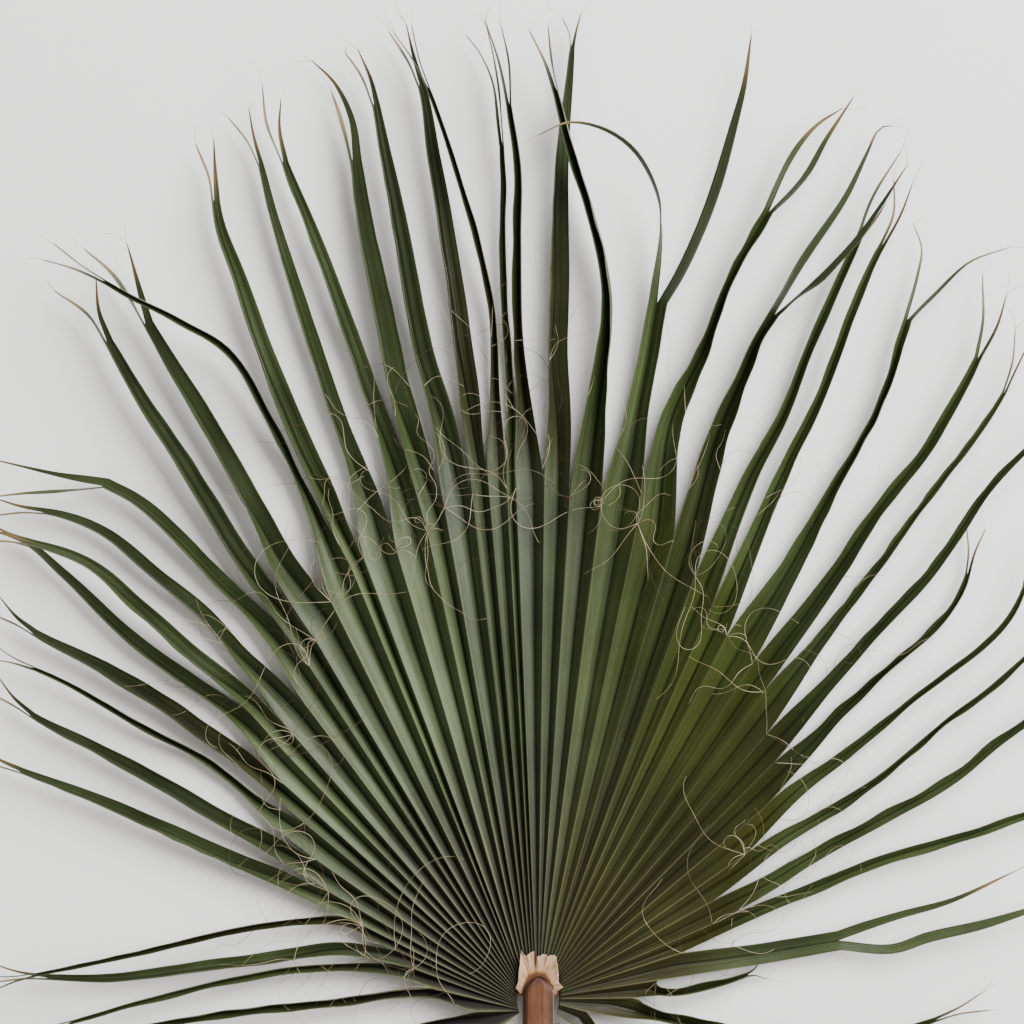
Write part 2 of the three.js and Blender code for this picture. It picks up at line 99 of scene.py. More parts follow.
@dataclass(frozen=True)
class Segment:
    """The free part of one segment.

    It holds the way it lies, the lift of its tips, the width of its halves and its points. Past the
    middle the trough closes to a share of its gape; each prong keeps a share of the width.
    """

    lie: Lie
    lift: float
    wide: float
    path: Sequence[Point]
    left: Sequence[Point] = ()
    right: Sequence[Point] = ()
    left_lift: Optional[float] = None
    right_lift: Optional[float] = None
    pinch: float = 1.0
    slim: Range = (1.0, 1.0)
    lean: Optional[Range] = None

    def prong_lean(self, side: Side) -> float:
        """How far one half leans out from upright in its prong, in degrees."""
        own = self.lean or (PRONG_LEAN[self.lie], PRONG_LEAN[self.lie])
        return own[0] if side is Side.LEFT else own[1]

    def prong(self, side: Side) -> Sequence[Point]:
        """Given points of one prong, or none."""
        return self.left if side is Side.LEFT else self.right

    def tip_lift(self, side: Side) -> float:
        """Height that one prong's tip lifts to."""
        own = self.left_lift if side is Side.LEFT else self.right_lift
        return self.lift if own is None else own


# Where neighbouring segments part: degrees from +Y towards +X, and distance from the hub.
SPLITS: Sequence[Point] = (
    (-127, 45), (-101, 60), (-85, 92), (-76, 128), (-71, 150), (-67.2, 190), (-62.8, 235), (-57.8, 262),
    (-53, 292), (-49.8, 333), (-45.8, 348), (-42.8, 360), (-38.3, 373), (-34.5, 403), (-31.8, 420),
    (-27.5, 447), (-23.4, 460), (-21.6, 474), (-17.5, 468), (-13.3, 480), (-10.8, 499), (-7.4, 508),
    (-5.5, 528), (-3.5, 510), (-2.5, 510), (0.7, 512), (3.6, 502), (7.2, 500), (11.8, 485), (16.4, 480),
    (20.4, 450), (23.9, 428), (27.5, 408), (32.6, 397), (36.3, 380), (40.8, 349), (45, 333), (49.8, 295),
    (55.1, 252), (60.7, 200), (66.8, 189), (72.1, 150), (81, 120), (89, 95), (104, 50), (128, 40),
)

# The free parts from left to right.
SEGMENTS: Sequence[Segment] = (
    Segment(Lie.CLOSED, 12, 10, [(-108, -26), (-230, -62), (-400, -100)]),
    Segment(Lie.CLOSED, 10, 10, [(-114, 7), (-212, -4), (-342, -20), (-500, -46)]),
    Segment(Lie.CLOSED, 16, 8, [(-145, 30), (-203, 32), (-265, 27), (-395, -4), (-520, -38)]),
    Segment(Lie.ROLLED, 14, 10, [(-170, 48), (-211, 50), (-293, 39), (-391, 25), (-445, 21), (-545, 27)]),
    Segment(Lie.CLOSED, 46, 7, [(-198, 78), (-240, 77), (-300, 68), (-407, 45), (-550, 16)]),
    Segment(Lie.ROLLED, 20, 12, [(-244, 114), (-355, 163), (-440, 200), (-565, 248)]),
    Segment(Lie.ROLLED, 16, 13, [(-277, 159), (-375, 215), (-440, 251), (-505, 284), (-545, 316)]),
    Segment(Lie.CLOSED, 24, 8, [(-270, 189), (-329, 235), (-385, 267), (-479, 319), (-550, 349)]),
    Segment(Lie.ROLLED, 16, 15, [(-290, 235), (-362, 287), (-430, 329), (-499, 365), (-542, 394)]),
    Segment(Lie.ROLLED, 12, 12, [(-309, 290), (-407, 362), (-473, 424), (-515, 458), (-560, 462)]),
    Segment(Lie.ROLLED, 44, 14, [(-280, 290), (-342, 342), (-401, 398), (-447, 435), (-550, 468)]),
    Segment(
        Lie.ROLLED, 16, 12, [(-290, 336), (-329, 382), (-381, 424), (-430, 465), (-476, 484), (-545, 491)],
    ),
    Segment(
        Lie.ROLLED, 22, 13, [(-267, 365), (-309, 411), (-355, 457), (-400, 498), (-430, 516)],
        left=[(-489, 511), (-560, 499)], right=[(-470, 523), (-560, 541)], slim=(0.6, 0.55),
    ),
    Segment(
        Lie.ROLLED, 30, 16, [(-277, 414), (-323, 486), (-362, 551), (-398, 606), (-427, 655)],
        left=[(-448, 686), (-481, 707)], right=[(-438, 685), (-440, 720)],
    ),
    Segment(
        Lie.ROLLED, 20, 17, [(-253, 432), (-280, 486), (-333, 583), (-365, 636), (-388, 674)],
        left=[(-420, 722), (-452, 748)], right=[(-398, 704), (-411, 753)],
    ),
    Segment(
        Lie.CLOSED, 62, 10, [(-225, 489), (-267, 577), (-306, 642), (-355, 675), (-417, 706), (-485, 743)],
    ),
    Segment(
        Lie.ROLLED, 18, 17, [(-204, 486), (-254, 600), (-296, 714), (-316, 770), (-324, 828), (-331, 856)],
    ),
    Segment(
        Lie.ROLLED, 16, 13, [(-172, 505), (-200, 583), (-236, 694), (-265, 786), (-276, 832)],
        left=[(-290, 860), (-308, 880)], right=[(-283, 858), (-288, 888)],
    ),
    Segment(
        Lie.ROLLED, 20, 14, [(-150, 557), (-182, 652), (-221, 756), (-251, 834)],
        left=[(-268, 874), (-275, 911)], right=[(-258, 868), (-257, 897)],
    ),
    Segment(
        Lie.ROLLED, 16, 19, [(-125, 557), (-149, 662), (-169, 760), (-181, 835)],
        left=[(-194, 880), (-206, 906)], right=[(-187, 878), (-204, 914), (-226, 936)],
    ),
    Segment(
        Lie.ROLLED, 22, 17, [(-87, 541), (-114, 655), (-136, 763), (-153, 851), (-160, 890)],
        left=[(-175, 924), (-192, 944)], right=[(-167, 918), (-180, 947)],
    ),
    Segment(
        Lie.ROLLED, 16, 16, [(-67, 580), (-76, 680), (-91, 763), (-103, 835), (-115, 910), (-140, 969)],
    ),
    Segment(
        Lie.CLOSED, 48, 8, [(-43, 620), (-46, 681), (-61, 758), (-81, 825), (-104, 890), (-134, 965)],
    ),
    Segment(
        Lie.CLOSED, 18, 8, [(-26, 590), (-31, 666), (-37, 758), (-36, 810), (-36, 850)],
        left=[(-43, 914), (-57, 944), (-71, 961)], right=[(-38, 896), (-44, 937), (-52, 970)],
    ),
    Segment(
        Lie.CLOSED, 46, 12, [(-13, 590), (-20, 666), (-21, 758), (-21, 827), (-30, 890)],
        left=[(-38, 930), (-52, 974)], right=[(-31, 932), (-37, 967)],
    ),
    Segment(
        Lie.ROLLED, 14, 17, [(20, 605), (21, 712), (22, 758), (27, 850), (33, 950)],
        left=[(31, 964), (24, 977)], right=[(36, 965), (41, 983)],
    ),
    Segment(
        Lie.CLOSED, 46, 19, [(54, 545), (64, 640), (67, 700), (53, 778), (30, 850), (14, 912), (1, 966)],
        pinch=0.5,
    ),
    Segment(
        Lie.TROUGH, 24, 22, [(100, 590), (113, 650), (121, 695)],
        left=[(124, 740), (123, 772), (117, 801), (95, 841), (66, 863), (30, 871), (0, 859)],
        right=[(136, 722), (158, 774), (190, 870), (204, 914), (213, 961)], left_lift=84,
        slim=(0.7, 1.25), lean=(-42, 60),
    ),
    Segment(
        Lie.TROUGH, 20, 24, [(132, 575), (165, 650), (194, 722), (230, 786)],
        left=[(253, 835), (277, 869), (303, 889)], right=[(262, 820), (286, 861), (313, 901)],
        pinch=0.36,
    ),
    Segment(
        Lie.TROUGH, 18, 24, [(179, 559), (201, 614), (216, 652), (234, 684)],
        left=[(263, 731), (310, 800), (329, 841), (342, 868), (353, 870)],
        right=[(286, 730), (318, 764), (366, 830)], right_lift=60, pinch=0.45, slim=(0.85, 0.75),
    ),
    Segment(
        Lie.TROUGH, 16, 17, [(212, 522), (245, 585), (270, 647), (297, 706), (321, 760)],
        left=[(334, 798), (361, 846)], right=[(334, 776), (346, 794)], pinch=0.62,
    ),
    Segment(
        Lie.TROUGH, 26, 16, [(252, 541), (278, 596), (300, 651), (336, 738), (355, 776), (363, 815)],
        pinch=0.7,
    ),
    Segment(
        Lie.TROUGH, 14, 19, [(258, 440), (296, 512), (343, 599), (369, 678)],
        left=[(380, 722), (383, 750), (374, 773)], right=[(393, 703), (430, 737), (471, 751)],
        pinch=0.36, slim=(0.6, 0.6),
    ),
    Segment(
        Lie.TROUGH, 18, 18, [(262, 376), (306, 436), (340, 490), (387, 548), (413, 592), (438, 640)],
        left=[(446, 680), (445, 722)], right=[(457, 672), (468, 702)], pinch=0.75,
    ),
    Segment(
        Lie.TROUGH, 16, 11, [(300, 380), (387, 497), (420, 541), (446, 577), (470, 615), (486, 666)],
        pinch=0.7,
    ),
    Segment(Lie.TROUGH, 30, 12, [(267, 289), (303, 329), (347, 376), (395, 431), (460, 522), (540, 598)]),
    Segment(
        Lie.TROUGH, 8, 13,
        [(268, 250), (303, 287), (340, 321), (409, 385), (426, 413), (434, 446), (438, 470)],
        pinch=0.5,
    ),
    Segment(
        Lie.TROUGH, 18, 12, [(262, 211), (300, 239), (387, 307), (460, 369), (482, 405), (498, 468)],
        pinch=0.5,
    ),
    Segment(
        Lie.TROUGH, 14, 12, [(245, 160), (278, 179), (325, 208), (413, 281), (453, 310), (545, 398)],
        pinch=0.45,
    ),
    Segment(Lie.TROUGH, 16, 13, [(235, 118), (267, 138), (322, 168), (413, 219), (457, 256), (590, 350)]),
    Segment(Lie.TROUGH, 14, 12, [(230, 93), (325, 132), (431, 163), (482, 181), (615, 222)]),
    Segment(
        Lie.OPEN, 22, 11, [(200, 42), (300, 58)],
        left=[(360, 80), (412, 97), (476, 128)], right=[(352, 55), (388, 68), (450, 82), (535, 104)],
        slim=(0.9, 1.6),
    ),
    Segment(Lie.CLOSED, 4, 10, [(135, 8), (180, 16), (225, 28)]),
    Segment(Lie.CLOSED, 10, 13, [(105, -13), (157, -23), (262, -40), (362, -31), (447, -3)]),
    Segment(Lie.CLOSED, 8, 12, [(54, -36), (84, -92), (122, -170), (140, -262)]),
)

# Outer edge of the collar from the lower left round the ragged top to the lower right, seen from above.
COLLAR_EDGE: Sequence[Point] = (
    (-17, 5), (-22.5, 11), (-20, 17), (-19.5, 26), (-18, 38), (-17, 49), (-12, 43), (-8, 47.5), (-3.5, 48),
    (-0.5, 42), (4, 45), (11, 44), (18, 43.5), (19.5, 34), (20.5, 24), (20.5, 17), (25, 12),
    (19.5, 8), (17, 1),
)

# Edge thorns: side of the stalk and place along it.
THORNS: Sequence[tuple[int, float]] = (
    (1, -27), (-1, -62), (1, -84), (-1, -118), (1, -141), (-1, -172), (1, -190),
)


def ease(value: Array, low: float, high: float) -> Array:
    """Smooth step from 0 at low to 1 at high.

    Args:
        value: What is read.
        low: Where the step starts.
        high: Where the step ends.

    Returns:
        The step at each value.
    """
    part = np.clip((np.asarray(value, float) - low) / (high - low), 0.0, 1.0)
    return part * part * (3.0 - 2.0 * part)


def mix(low: Array, high: Array, part: Array) -> Array:
    """Straight blend from low at 0 to high at 1."""
    return low + (high - low) * part


def column(values: Array) -> Array:
    """The values as a column, to scale rows of vectors."""
    return np.asarray(values, float)[..., None]


def polar(degrees: Array, radius: Array) -> Array:
    """Points on the ground at an angle from +Y towards +X and a distance from the hub."""
    angle = np.radians(degrees)
    return np.stack([np.sin(angle) * radius, np.cos(angle) * radius], axis=-1)


class Line:
    """A smooth line on the ground through given points, read by its length."""

    # Samples between two points, and how far to each side a heading is read.
    STEPS = 48
    LOOK = 2.0

    def __init__(self, points: Sequence[Point]) -> None:
        """Samples the line.

        Args:
            points: The points that the line passes through.
        """
        spots = np.asarray(points, float)
        wide = np.vstack([2 * spots[0] - spots[1], spots, 2 * spots[-1] - spots[-2]])
        pieces = [self._span(*wide[k : k + 4]) for k in range(len(spots) - 1)]
        self.spots = np.vstack([*pieces, spots[-1:]])
        steps = np.linalg.norm(np.diff(self.spots, axis=0), axis=1)
        self.marks = np.concatenate([[0.0], np.cumsum(steps)])
        self.length = float(self.marks[-1])

    def _span(self, before: Array, start: Array, end: Array, after: Array) -> Array:
        """Points of one stretch, its end left out.

        Args:
            before: The point ahead of the stretch.
            start: Its first point.
            end: Its last point.
            after: The point behind it.

        Returns:
            The sampled points.
        """
        pace = [math.sqrt(math.dist(a, b)) for a, b in ((before, start), (start, end), (end, after))]
        leave = (start - before) / pace[0] - (end - before) / (pace[0] + pace[1]) + (end - start) / pace[1]
        reach = (end - start) / pace[1] - (after - start) / (pace[1] + pace[2]) + (after - end) / pace[2]
        leave, reach = leave * pace[1], reach * pace[1]
        t = column(np.arange(self.STEPS) / self.STEPS)
        square = -3 * start + 3 * end - 2 * leave - reach
        cube = 2 * start - 2 * end + leave + reach
        return start + leave * t + square * t**2 + cube * t**3

    def at(self, part: Array) -> Array:
        """Points at shares of the length."""
        marks = np.asarray(part, float) * self.length
        return np.stack([np.interp(marks, self.marks, self.spots[:, k]) for k in (0, 1)], axis=-1)

    def heading(self, part: Array) -> Array:
        """Unit directions at shares of the length.

        Args:
            part: The shares.

        Returns:
            A direction on the ground at each share.
        """
        share = np.asarray(part, float)
        step = self.LOOK / self.length
        way = self.at(np.clip(share + step, 0, 1)) - self.at(np.clip(share - step, 0, 1))
        return way / np.linalg.norm(way, axis=-1, keepdims=True)


@dataclass(frozen=True)
class Ripple:
    """A small irregular wave along a length: a few sines of nearby wavelengths."""

    # Number of sines, and the shares of the asked size and wavelength that each may have.
    SINES: ClassVar[int] = 3
    SIZES: ClassVar[Range] = (0.3, 0.7)
    LENGTHS: ClassVar[Range] = (0.65, 1.6)

    sizes: Array
    paces: Array
    phases: Array

    @classmethod
    def drawn(cls, rng: np.random.Generator, size: float, wavelength: float) -> "Ripple":
        """Draws a ripple.

        Args:
            rng: The seeded source of chance.
            size: About its height.
            wavelength: About its wavelength.

        Returns:
            The ripple.
        """
        sizes = size * rng.uniform(*cls.SIZES, cls.SINES)
        paces = 2 * np.pi / (wavelength * rng.uniform(*cls.LENGTHS, cls.SINES))
        return cls(sizes, paces, rng.uniform(0, 2 * np.pi, cls.SINES))

    def at(self, length: Array) -> Array:
        """Height of the ripple at lengths."""
        turns = column(length) * self.paces + self.phases
        return (np.sin(turns) * self.sizes).sum(axis=-1)


def right_of(heading: Array) -> Array:
    """Level unit vectors to the right of headings on the ground."""
    return np.stack([heading[..., 1], -heading[..., 0], np.zeros(len(heading))], axis=-1)


def turned(right: Array, angle: Array) -> Array:
    """Unit vectors turned up from the right-hand side by an angle."""
    return right * column(np.cos(angle)) + UP * column(np.sin(angle))


@dataclass
class Patch:
    """A grid of corners of a thin sheet: stations along it, and columns from left to right."""

    points: Array
    drops: Array
    across: Array
    reach: Array
    tip: Array
    free: Array
    tone: float


class SheetMesh:
    """Collects patches into one closed thin sheet with an upper face, a lower face and rims."""

    # Corners that agree to this many decimals are one, and corners this near a trough bottom are creased.
    MERGE_DECIMALS = 3
    CREASE = 0.001

    def __init__(self) -> None:
        """Starts with no patch."""
        self.patches: list[Patch] = []

    def add(self, patch: Patch) -> None:
        """Takes one more patch."""
        self.patches.append(patch)

    def _corner_values(self) -> dict[str, Array]:
        """Reads the values that the finishes use.

        Returns:
            The named values of every corner, before merging.
        """
        found: dict[str, list[Array]] = {"across": [], "reach": [], "tip": [], "free": []}
        for patch in self.patches:
            shape = patch.points.shape[:2]
            found["across"].append(np.broadcast_to(patch.across[None, :], shape).ravel())
            for name in ("reach", "tip", "free"):
                found[name].append(np.broadcast_to(getattr(patch, name)[:, None], shape).ravel())
        return {name: np.concatenate(values) for name, values in found.items()}

    def _quads(self) -> tuple[Array, Array]:
        """Lists the faces.

        Returns:
            Quads of the upper face before merging, and the tone of each.
        """
        quads, tones, start = [], [], 0
        for patch in self.patches:
            rows, columns = patch.points.shape[:2]
            index = start + np.arange(rows * columns).reshape(rows, columns)
            corners = (index[:-1, :-1], index[:-1, 1:], index[1:, 1:], index[1:, :-1])
            quads.append(np.stack([c.ravel() for c in corners], axis=1))
            tones.append(np.full(len(quads[-1]), patch.tone))
            start += rows * columns
        return np.vstack(quads), np.concatenate(tones)

    def build(self, name: str) -> bpy.types.Object:
        """Merges the patches and makes the object.

        Args:
            name: Name of the piece.

        Returns:
            The new object.
        """
        points = np.vstack([p.points.reshape(-1, 3) for p in self.patches])
        drops = np.vstack([p.drops.reshape(-1, 3) for p in self.patches])
        values = self._corner_values()
        quads, tones = self._quads()
        _, first, index = np.unique(
            np.round(points, self.MERGE_DECIMALS), axis=0, return_index=True, return_inverse=True
        )
        quads = index.reshape(-1)[quads]
        top, count = points[first], len(first)
        edges = np.stack([quads, np.roll(quads, -1, axis=1)], axis=2).reshape(-1, 2)
        code = edges[:, 0] * count + edges[:, 1]
        open_edge = ~np.isin(code, edges[:, 1] * count + edges[:, 0])
        a, b = edges[open_edge].T
        rims = np.stack([b, a, a + count, b + count], axis=1)
        faces = np.vstack([quads, quads[:, ::-1] + count, rims])
        made = mesh_object(name, np.vstack([top, top + drops[first]]), faces.tolist())
        for key, value in values.items():
            corner_value(made, key, np.tile(value[first], 2))
        owner = np.repeat(np.arange(len(quads)), 4)[open_edge]
        face_value(made, "tone", np.concatenate([tones, tones, tones[owner]]))
        under = [np.zeros(len(quads)), np.ones(len(quads)), np.full(len(rims), 0.5)]
        face_value(made, "under", np.concatenate(under))
        crease(made, np.tile(values["across"][first], 2) < self.CREASE)
        return made


def mesh_object(name: str, spots: Array, faces: Sequence[Sequence[int]]) -> bpy.types.Object:
    """Makes a mesh object from corners in millimetres, smooth but for the faces that close its ends.

    Args:
        name: Name of the object.
        spots: Corners in millimetres.
        faces: Corner numbers of each face.

    Returns:
        The object, linked to the scene.
    """
    mesh = bpy.data.meshes.new(name)
    mesh.from_pydata((spots * MM).tolist(), [], faces)
    mesh.polygons.foreach_set("use_smooth", [len(face) < END_CORNERS for face in faces])
    mesh.update()
    made = bpy.data.objects.new(name, mesh)
    bpy.context.scene.collection.objects.link(made)
    return made


def corner_value(made: bpy.types.Object, name: str, values: Array) -> None:
    """Stores a named number on each corner of an object's mesh."""
    made.data.attributes.new(name, "FLOAT", "POINT").data.foreach_set("value", values.astype(np.float32))


def face_value(made: bpy.types.Object, name: str, values: Array) -> None:
    """Stores a named number on each face of an object's mesh."""
    made.data.attributes.new(name, "FLOAT", "FACE").data.foreach_set("value", values.astype(np.float32))


def crease(made: bpy.types.Object, inside: Array) -> None:
    """Sharpens the edges of an object's mesh that join two marked corners.

    Args:
        made: The object.
        inside: Whether each corner is marked.
    """
    ends = np.zeros(2 * len(made.data.edges), np.int32)
    made.data.edges.foreach_get("vertices", ends)
    sharp = inside[ends.reshape(-1, 2)].all(axis=1)
    made.data.attributes.new("sharp_edge", "BOOLEAN", "EDGE").data.foreach_set("value", sharp)


class Nodes:
    """A material under construction: short names for the nodes that the finishes use."""

    # Socket numbers of the mix node when it mixes colours.
    FIRST_COLOUR = 6
    SECOND_COLOUR = 7
    MIXED_COLOUR = 2

    def __init__(self, name: str) -> None:
        """Starts a material.

        Args:
            name: Name of the material.
        """
        self.material = bpy.data.materials.new(name)
        self.material.use_nodes = True
        self.tree = self.material.node_tree
        self.shader = self.tree.nodes["Principled BSDF"]

    def _put(self, value: Union[Value, Tint], socket: Socket) -> None:
        """Links a socket or sets a constant on it.

        Args:
            value: A socket, a number or a colour.
            socket: Where it goes.
        """
        if isinstance(value, bpy.types.NodeSocket):
            self.tree.links.new(value, socket)
        elif isinstance(value, tuple):
            socket.default_value = (*value, 1.0)
        else:
            socket.default_value = value

    def _node(self, kind: str, *values: Union[Value, Tint], **settings: str) -> bpy.types.Node:
        """Makes a node.

        Args:
            kind: Its type.
            values: What goes into its first sockets, in order.
            settings: Its own settings, by name.

        Returns:
            The node.
        """
        node = self.tree.nodes.new(kind)
        for name, setting in settings.items():
            setattr(node, name, setting)
        for value, socket in zip(values, node.inputs):
            self._put(value, socket)
        return node

    def attribute(self, name: str) -> Socket:
        """A named number stored on the mesh."""
        return self._node("ShaderNodeAttribute", attribute_name=name).outputs["Fac"]

    def place(self) -> Socket:
        """The point in the frame of the part."""
        return self._node("ShaderNodeTexCoord").outputs["Object"]

    def split(self, vector: Socket) -> tuple[Socket, ...]:
        """The three numbers of a vector."""
        return tuple(self._node("ShaderNodeSeparateXYZ", vector).outputs)

    def join(self, x: Value, y: Value, z: Value) -> Socket:
        """A vector of three numbers."""
        return self._node("ShaderNodeCombineXYZ", x, y, z).outputs[0]

    def math(self, kind: str, a: Value, b: Value = 0.0) -> Socket:
        """A sum, product or other operation on two numbers."""
        return self._node("ShaderNodeMath", a, b, operation=kind).outputs[0]

    def times(self, *values: Value) -> Socket:
        """Multiplies several numbers.

        Args:
            values: The numbers.

        Returns:
            Their product.
        """
        made = values[0]
        for value in values[1:]:
            made = self.math("MULTIPLY", made, value)
        return made

    def step(self, value: Value, low: float, high: float, start: float = 0.0, end: float = 1.0) -> Socket:
        """A smooth step.

        Args:
            value: What is read.
            low: Where the step starts.
            high: Where the step ends.
            start: The result up to low.
            end: The result from high on.

        Returns:
            The step.
        """
        span = (value, low, high, start, end)
        return self._node("ShaderNodeMapRange", *span, interpolation_type="SMOOTHSTEP").outputs[0]

    def noise(self, vector: Socket, scale: float, detail: float = 2.0, rough: float = 0.5) -> Socket:
        """Cloudy noise from 0 to 1.

        Args:
            vector: Where it is read.
            scale: How fine it is.
            detail: How many finer layers it has.
            rough: How strong those layers are.

        Returns:
            The noise.
        """
        node = self._node("ShaderNodeTexNoise", vector)
        for name, value in (("Scale", scale), ("Detail", detail), ("Roughness", rough)):
            self._put(value, node.inputs[name])
        return node.outputs["Fac"]

    def _mixed(self, kind: str, part: Value, low: Tint, high: Tint) -> Socket:
        """Puts two colours together.

        Args:
            kind: How, as the mix node names it.
            part: How much the second colour counts.
            low: The first colour.
            high: The second colour.

        Returns:
            The new colour.
        """
        node = self._node("ShaderNodeMix", part, data_type="RGBA", blend_type=kind)
        self._put(low, node.inputs[self.FIRST_COLOUR])
        self._put(high, node.inputs[self.SECOND_COLOUR])
        return node.outputs[self.MIXED_COLOUR]

    def blend(self, part: Value, low: Tint, high: Tint) -> Socket:
        """A colour between two colours."""
        return self._mixed("MIX", part, low, high)

    def shade(self, colour: Tint, share: Value) -> Socket:
        """A colour made lighter or darker by a share."""
        return self._mixed("MULTIPLY", 1.0, colour, self.join(share, share, share))

    def bump(self, height: Socket, depth: float, strength: float) -> None:
        """Raises the surface by a height.

        Args:
            height: The height, from 0 to 1.
            depth: What 1 means, in metres.
            strength: How strongly it shows.
        """
        node = self.tree.nodes.new("ShaderNodeBump")
        node.inputs["Strength"].default_value = strength
        node.inputs["Distance"].default_value = depth
        self._put(height, node.inputs["Height"])
        self.tree.links.new(node.outputs[0], self.shader.inputs["Normal"])

    def finish(self, colour: Tint, rough: Value, specular: float) -> bpy.types.Material:
        """Sets the shader and hands out the material.

        Args:
            colour: Base colour.
            rough: Roughness.
            specular: Specular level, the same all over.

        Returns:
            The material.
        """
        self._put(colour, self.shader.inputs["Base Color"])
        self._put(rough, self.shader.inputs["Roughness"])
        self.shader.inputs["Specular IOR Level"].default_value = specular
        return self.material


@dataclass(frozen=True)
class BladeFinish:
    """Waxy leaf: grey green with painted sheen on the left, olive on the right, painted valley shade, tan
    edges and dry tips.
    """

    # Grey green of the left side: the leaf's green, made paler and greyer as painted sheen.
    grey_green_and_sheen: Colour = (0.042, 0.056, 0.023)
    olive: Colour = (0.0162, 0.0232, 0.0032)
    brown_olive: Colour = (0.0196, 0.0200, 0.0031)
    dark_brown: Colour = (0.016, 0.014, 0.004)
    ridge_tan: Colour = (0.120, 0.094, 0.054)
    # Near-black painted shade for the valleys near the hub.
    valley_shade: Colour = (0.008, 0.005, 0.004)
    edge_tan: Colour = (0.115, 0.095, 0.046)
    dry_tan: Colour = (0.20, 0.13, 0.056)
    dry_brown: Colour = (0.050, 0.022, 0.009)
    under_green: Colour = (0.034, 0.044, 0.019)
    free_left: Colour = (0.022, 0.033, 0.009)
    # Green of the free parts on the right: the leaf's green, made lighter than on the left as painted
    # light.
    free_green_and_light: Colour = (0.029, 0.042, 0.014)
    streak_grain: Grain = (30.0, 4.0, 57.0)
    vein_grain: Grain = (95.0, 2.5, 31.0)
    cloud_scale: float = 9.0
    speck_scale: float = 850.0
    fleck_scale: float = 620.0
    dry_least: float = 26.0
    dry_more: float = 45.0
    dry_ragged: float = 0.9
    rough: float = 0.30
    rough_more: float = 0.14
    hub_rough: float = 0.45
    right_shine: float = 0.10
    gloss: float = 0.25
    bump_depth: float = 0.0007
    bump_strength: float = 0.5

    def make(self) -> bpy.types.Material:
        """Builds the material.

        Returns:
            The material of the blade.
        """
        n = Nodes("leaf_blade")
        place = n.place()
        streak = n.noise(self._strand(n, self.streak_grain), 1.0, 3.0, 0.6)
        colour = self._green(n, place, streak)
        colour = self._hub(n, colour)
        colour = self._edges(n, colour, place)
        colour = self._dry(n, colour, streak)
        n.bump(streak, self.bump_depth, self.bump_strength)
        return n.finish(colour, self._rough(n, place, streak), self.gloss)

    def _strand(self, n: Nodes, grain: Grain) -> Socket:
        """Where noise is read so that it is drawn out along the segments.

        Args:
            n: The material.
            grain: How fast it changes across a half, along a metre and from segment to segment.

        Returns:
            The place to read.
        """
        ways = zip(("across", "reach", "tone"), grain)
        return n.join(*[n.times(n.attribute(name), count) for name, count in ways])

    def _rough(self, n: Nodes, place: Socket, streak: Socket) -> Socket:
        """Roughness: streaked, dull by the hub on the left, shinier on the right.

        Args:
            n: The material.
            place: The point in the frame of the part.
            streak: Noise drawn out along the segments.

        Returns:
            The roughness.
        """
        rough = n.step(streak, 0.2, 0.8, self.rough, self.rough + self.rough_more)
        hub = n.times(self._left(n), n.step(n.attribute("reach"), 0.05, 0.24, self.hub_rough, 0.0))
        shine = n.step(n.split(place)[0], -0.04, 0.06, 0.0, self.right_shine)
        return n.math("SUBTRACT", n.math("ADD", rough, hub), shine)

    def _green(self, n: Nodes, place: Socket, streak: Socket) -> Socket:
        """The green from left to right with painted sheen on the left and painted light on the free parts
        at the right, its clouds and its fine veins.

        Args:
            n: The material.
            place: The point in the frame of the part.
            streak: Noise drawn out along the segments.

        Returns:
            The colour.
        """
        tone, free = n.attribute("tone"), n.attribute("free")
        x, y, _ = n.split(place)
        low = n.step(y, 0.05, 0.42, 1.0, 0.0)
        right = n.math("MAXIMUM", n.step(x, -0.05, 0.13), n.times(low, n.step(x, -0.03, 0.05)))
        # The left side's grey green is partly painted sheen.
        colour = n.blend(right, self.grey_green_and_sheen, self.olive)
        colour = n.blend(n.times(right, low, 0.8), colour, self.brown_olive)
        # The free parts on the right get the lighter green, partly painted light.
        apart = n.blend(n.step(x, -0.10, 0.02), self.free_left, self.free_green_and_light)
        colour = n.blend(n.times(n.step(free, 0.02, 0.2), 0.85), colour, apart)
        colour = n.shade(colour, n.step(tone, 0.0, 1.0, 0.68, 1.28))
        worn = n.times(n.step(tone, 0.30, 0.16), n.step(free, 0.0, 0.12), n.step(free, 0.75, 0.35))
        colour = n.blend(n.times(worn, 0.5), colour, self.dark_brown)
        cloud = n.noise(place, self.cloud_scale, 3.0)
        colour = n.shade(colour, n.step(cloud, 0.3, 0.7, 0.74, 1.22))
        colour = n.shade(colour, n.step(streak, 0.25, 0.75, 0.74, 1.28))
        vein = n.noise(self._strand(n, self.vein_grain), 1.0, 1.0)
        return n.shade(colour, n.step(vein, 0.3, 0.7, 0.76, 1.22))

    def _left(self, n: Nodes) -> Socket:
        """1 on the left of the middle, 0 on the right."""
        return n.step(n.split(n.place())[0], -0.04, 0.03, 1.0, 0.0)

    def _hub(self, n: Nodes, colour: Socket) -> Socket:
        """Tan ridges and painted shade in the valleys near the hub, deeper on the left.

        Args:
            n: The material.
            colour: The colour so far.

        Returns:
            The colour with them.
        """
        across, reach = n.attribute("across"), n.attribute("reach")
        near = n.step(reach, 0.09, 0.30, 1.0, 0.0)
        side = n.step(self._left(n), 0.0, 1.0, 0.4, 1.0)
        # Painted shade: darkens the valleys near the hub, more on the left than on the right.
        dark = n.times(near, side, n.step(across, 0.55, 1.0, 1.0, 0.0))
        colour = n.blend(dark, colour, self.valley_shade)
        return n.blend(n.times(near, n.step(across, 0.88, 1.0), 0.8), colour, self.ridge_tan)

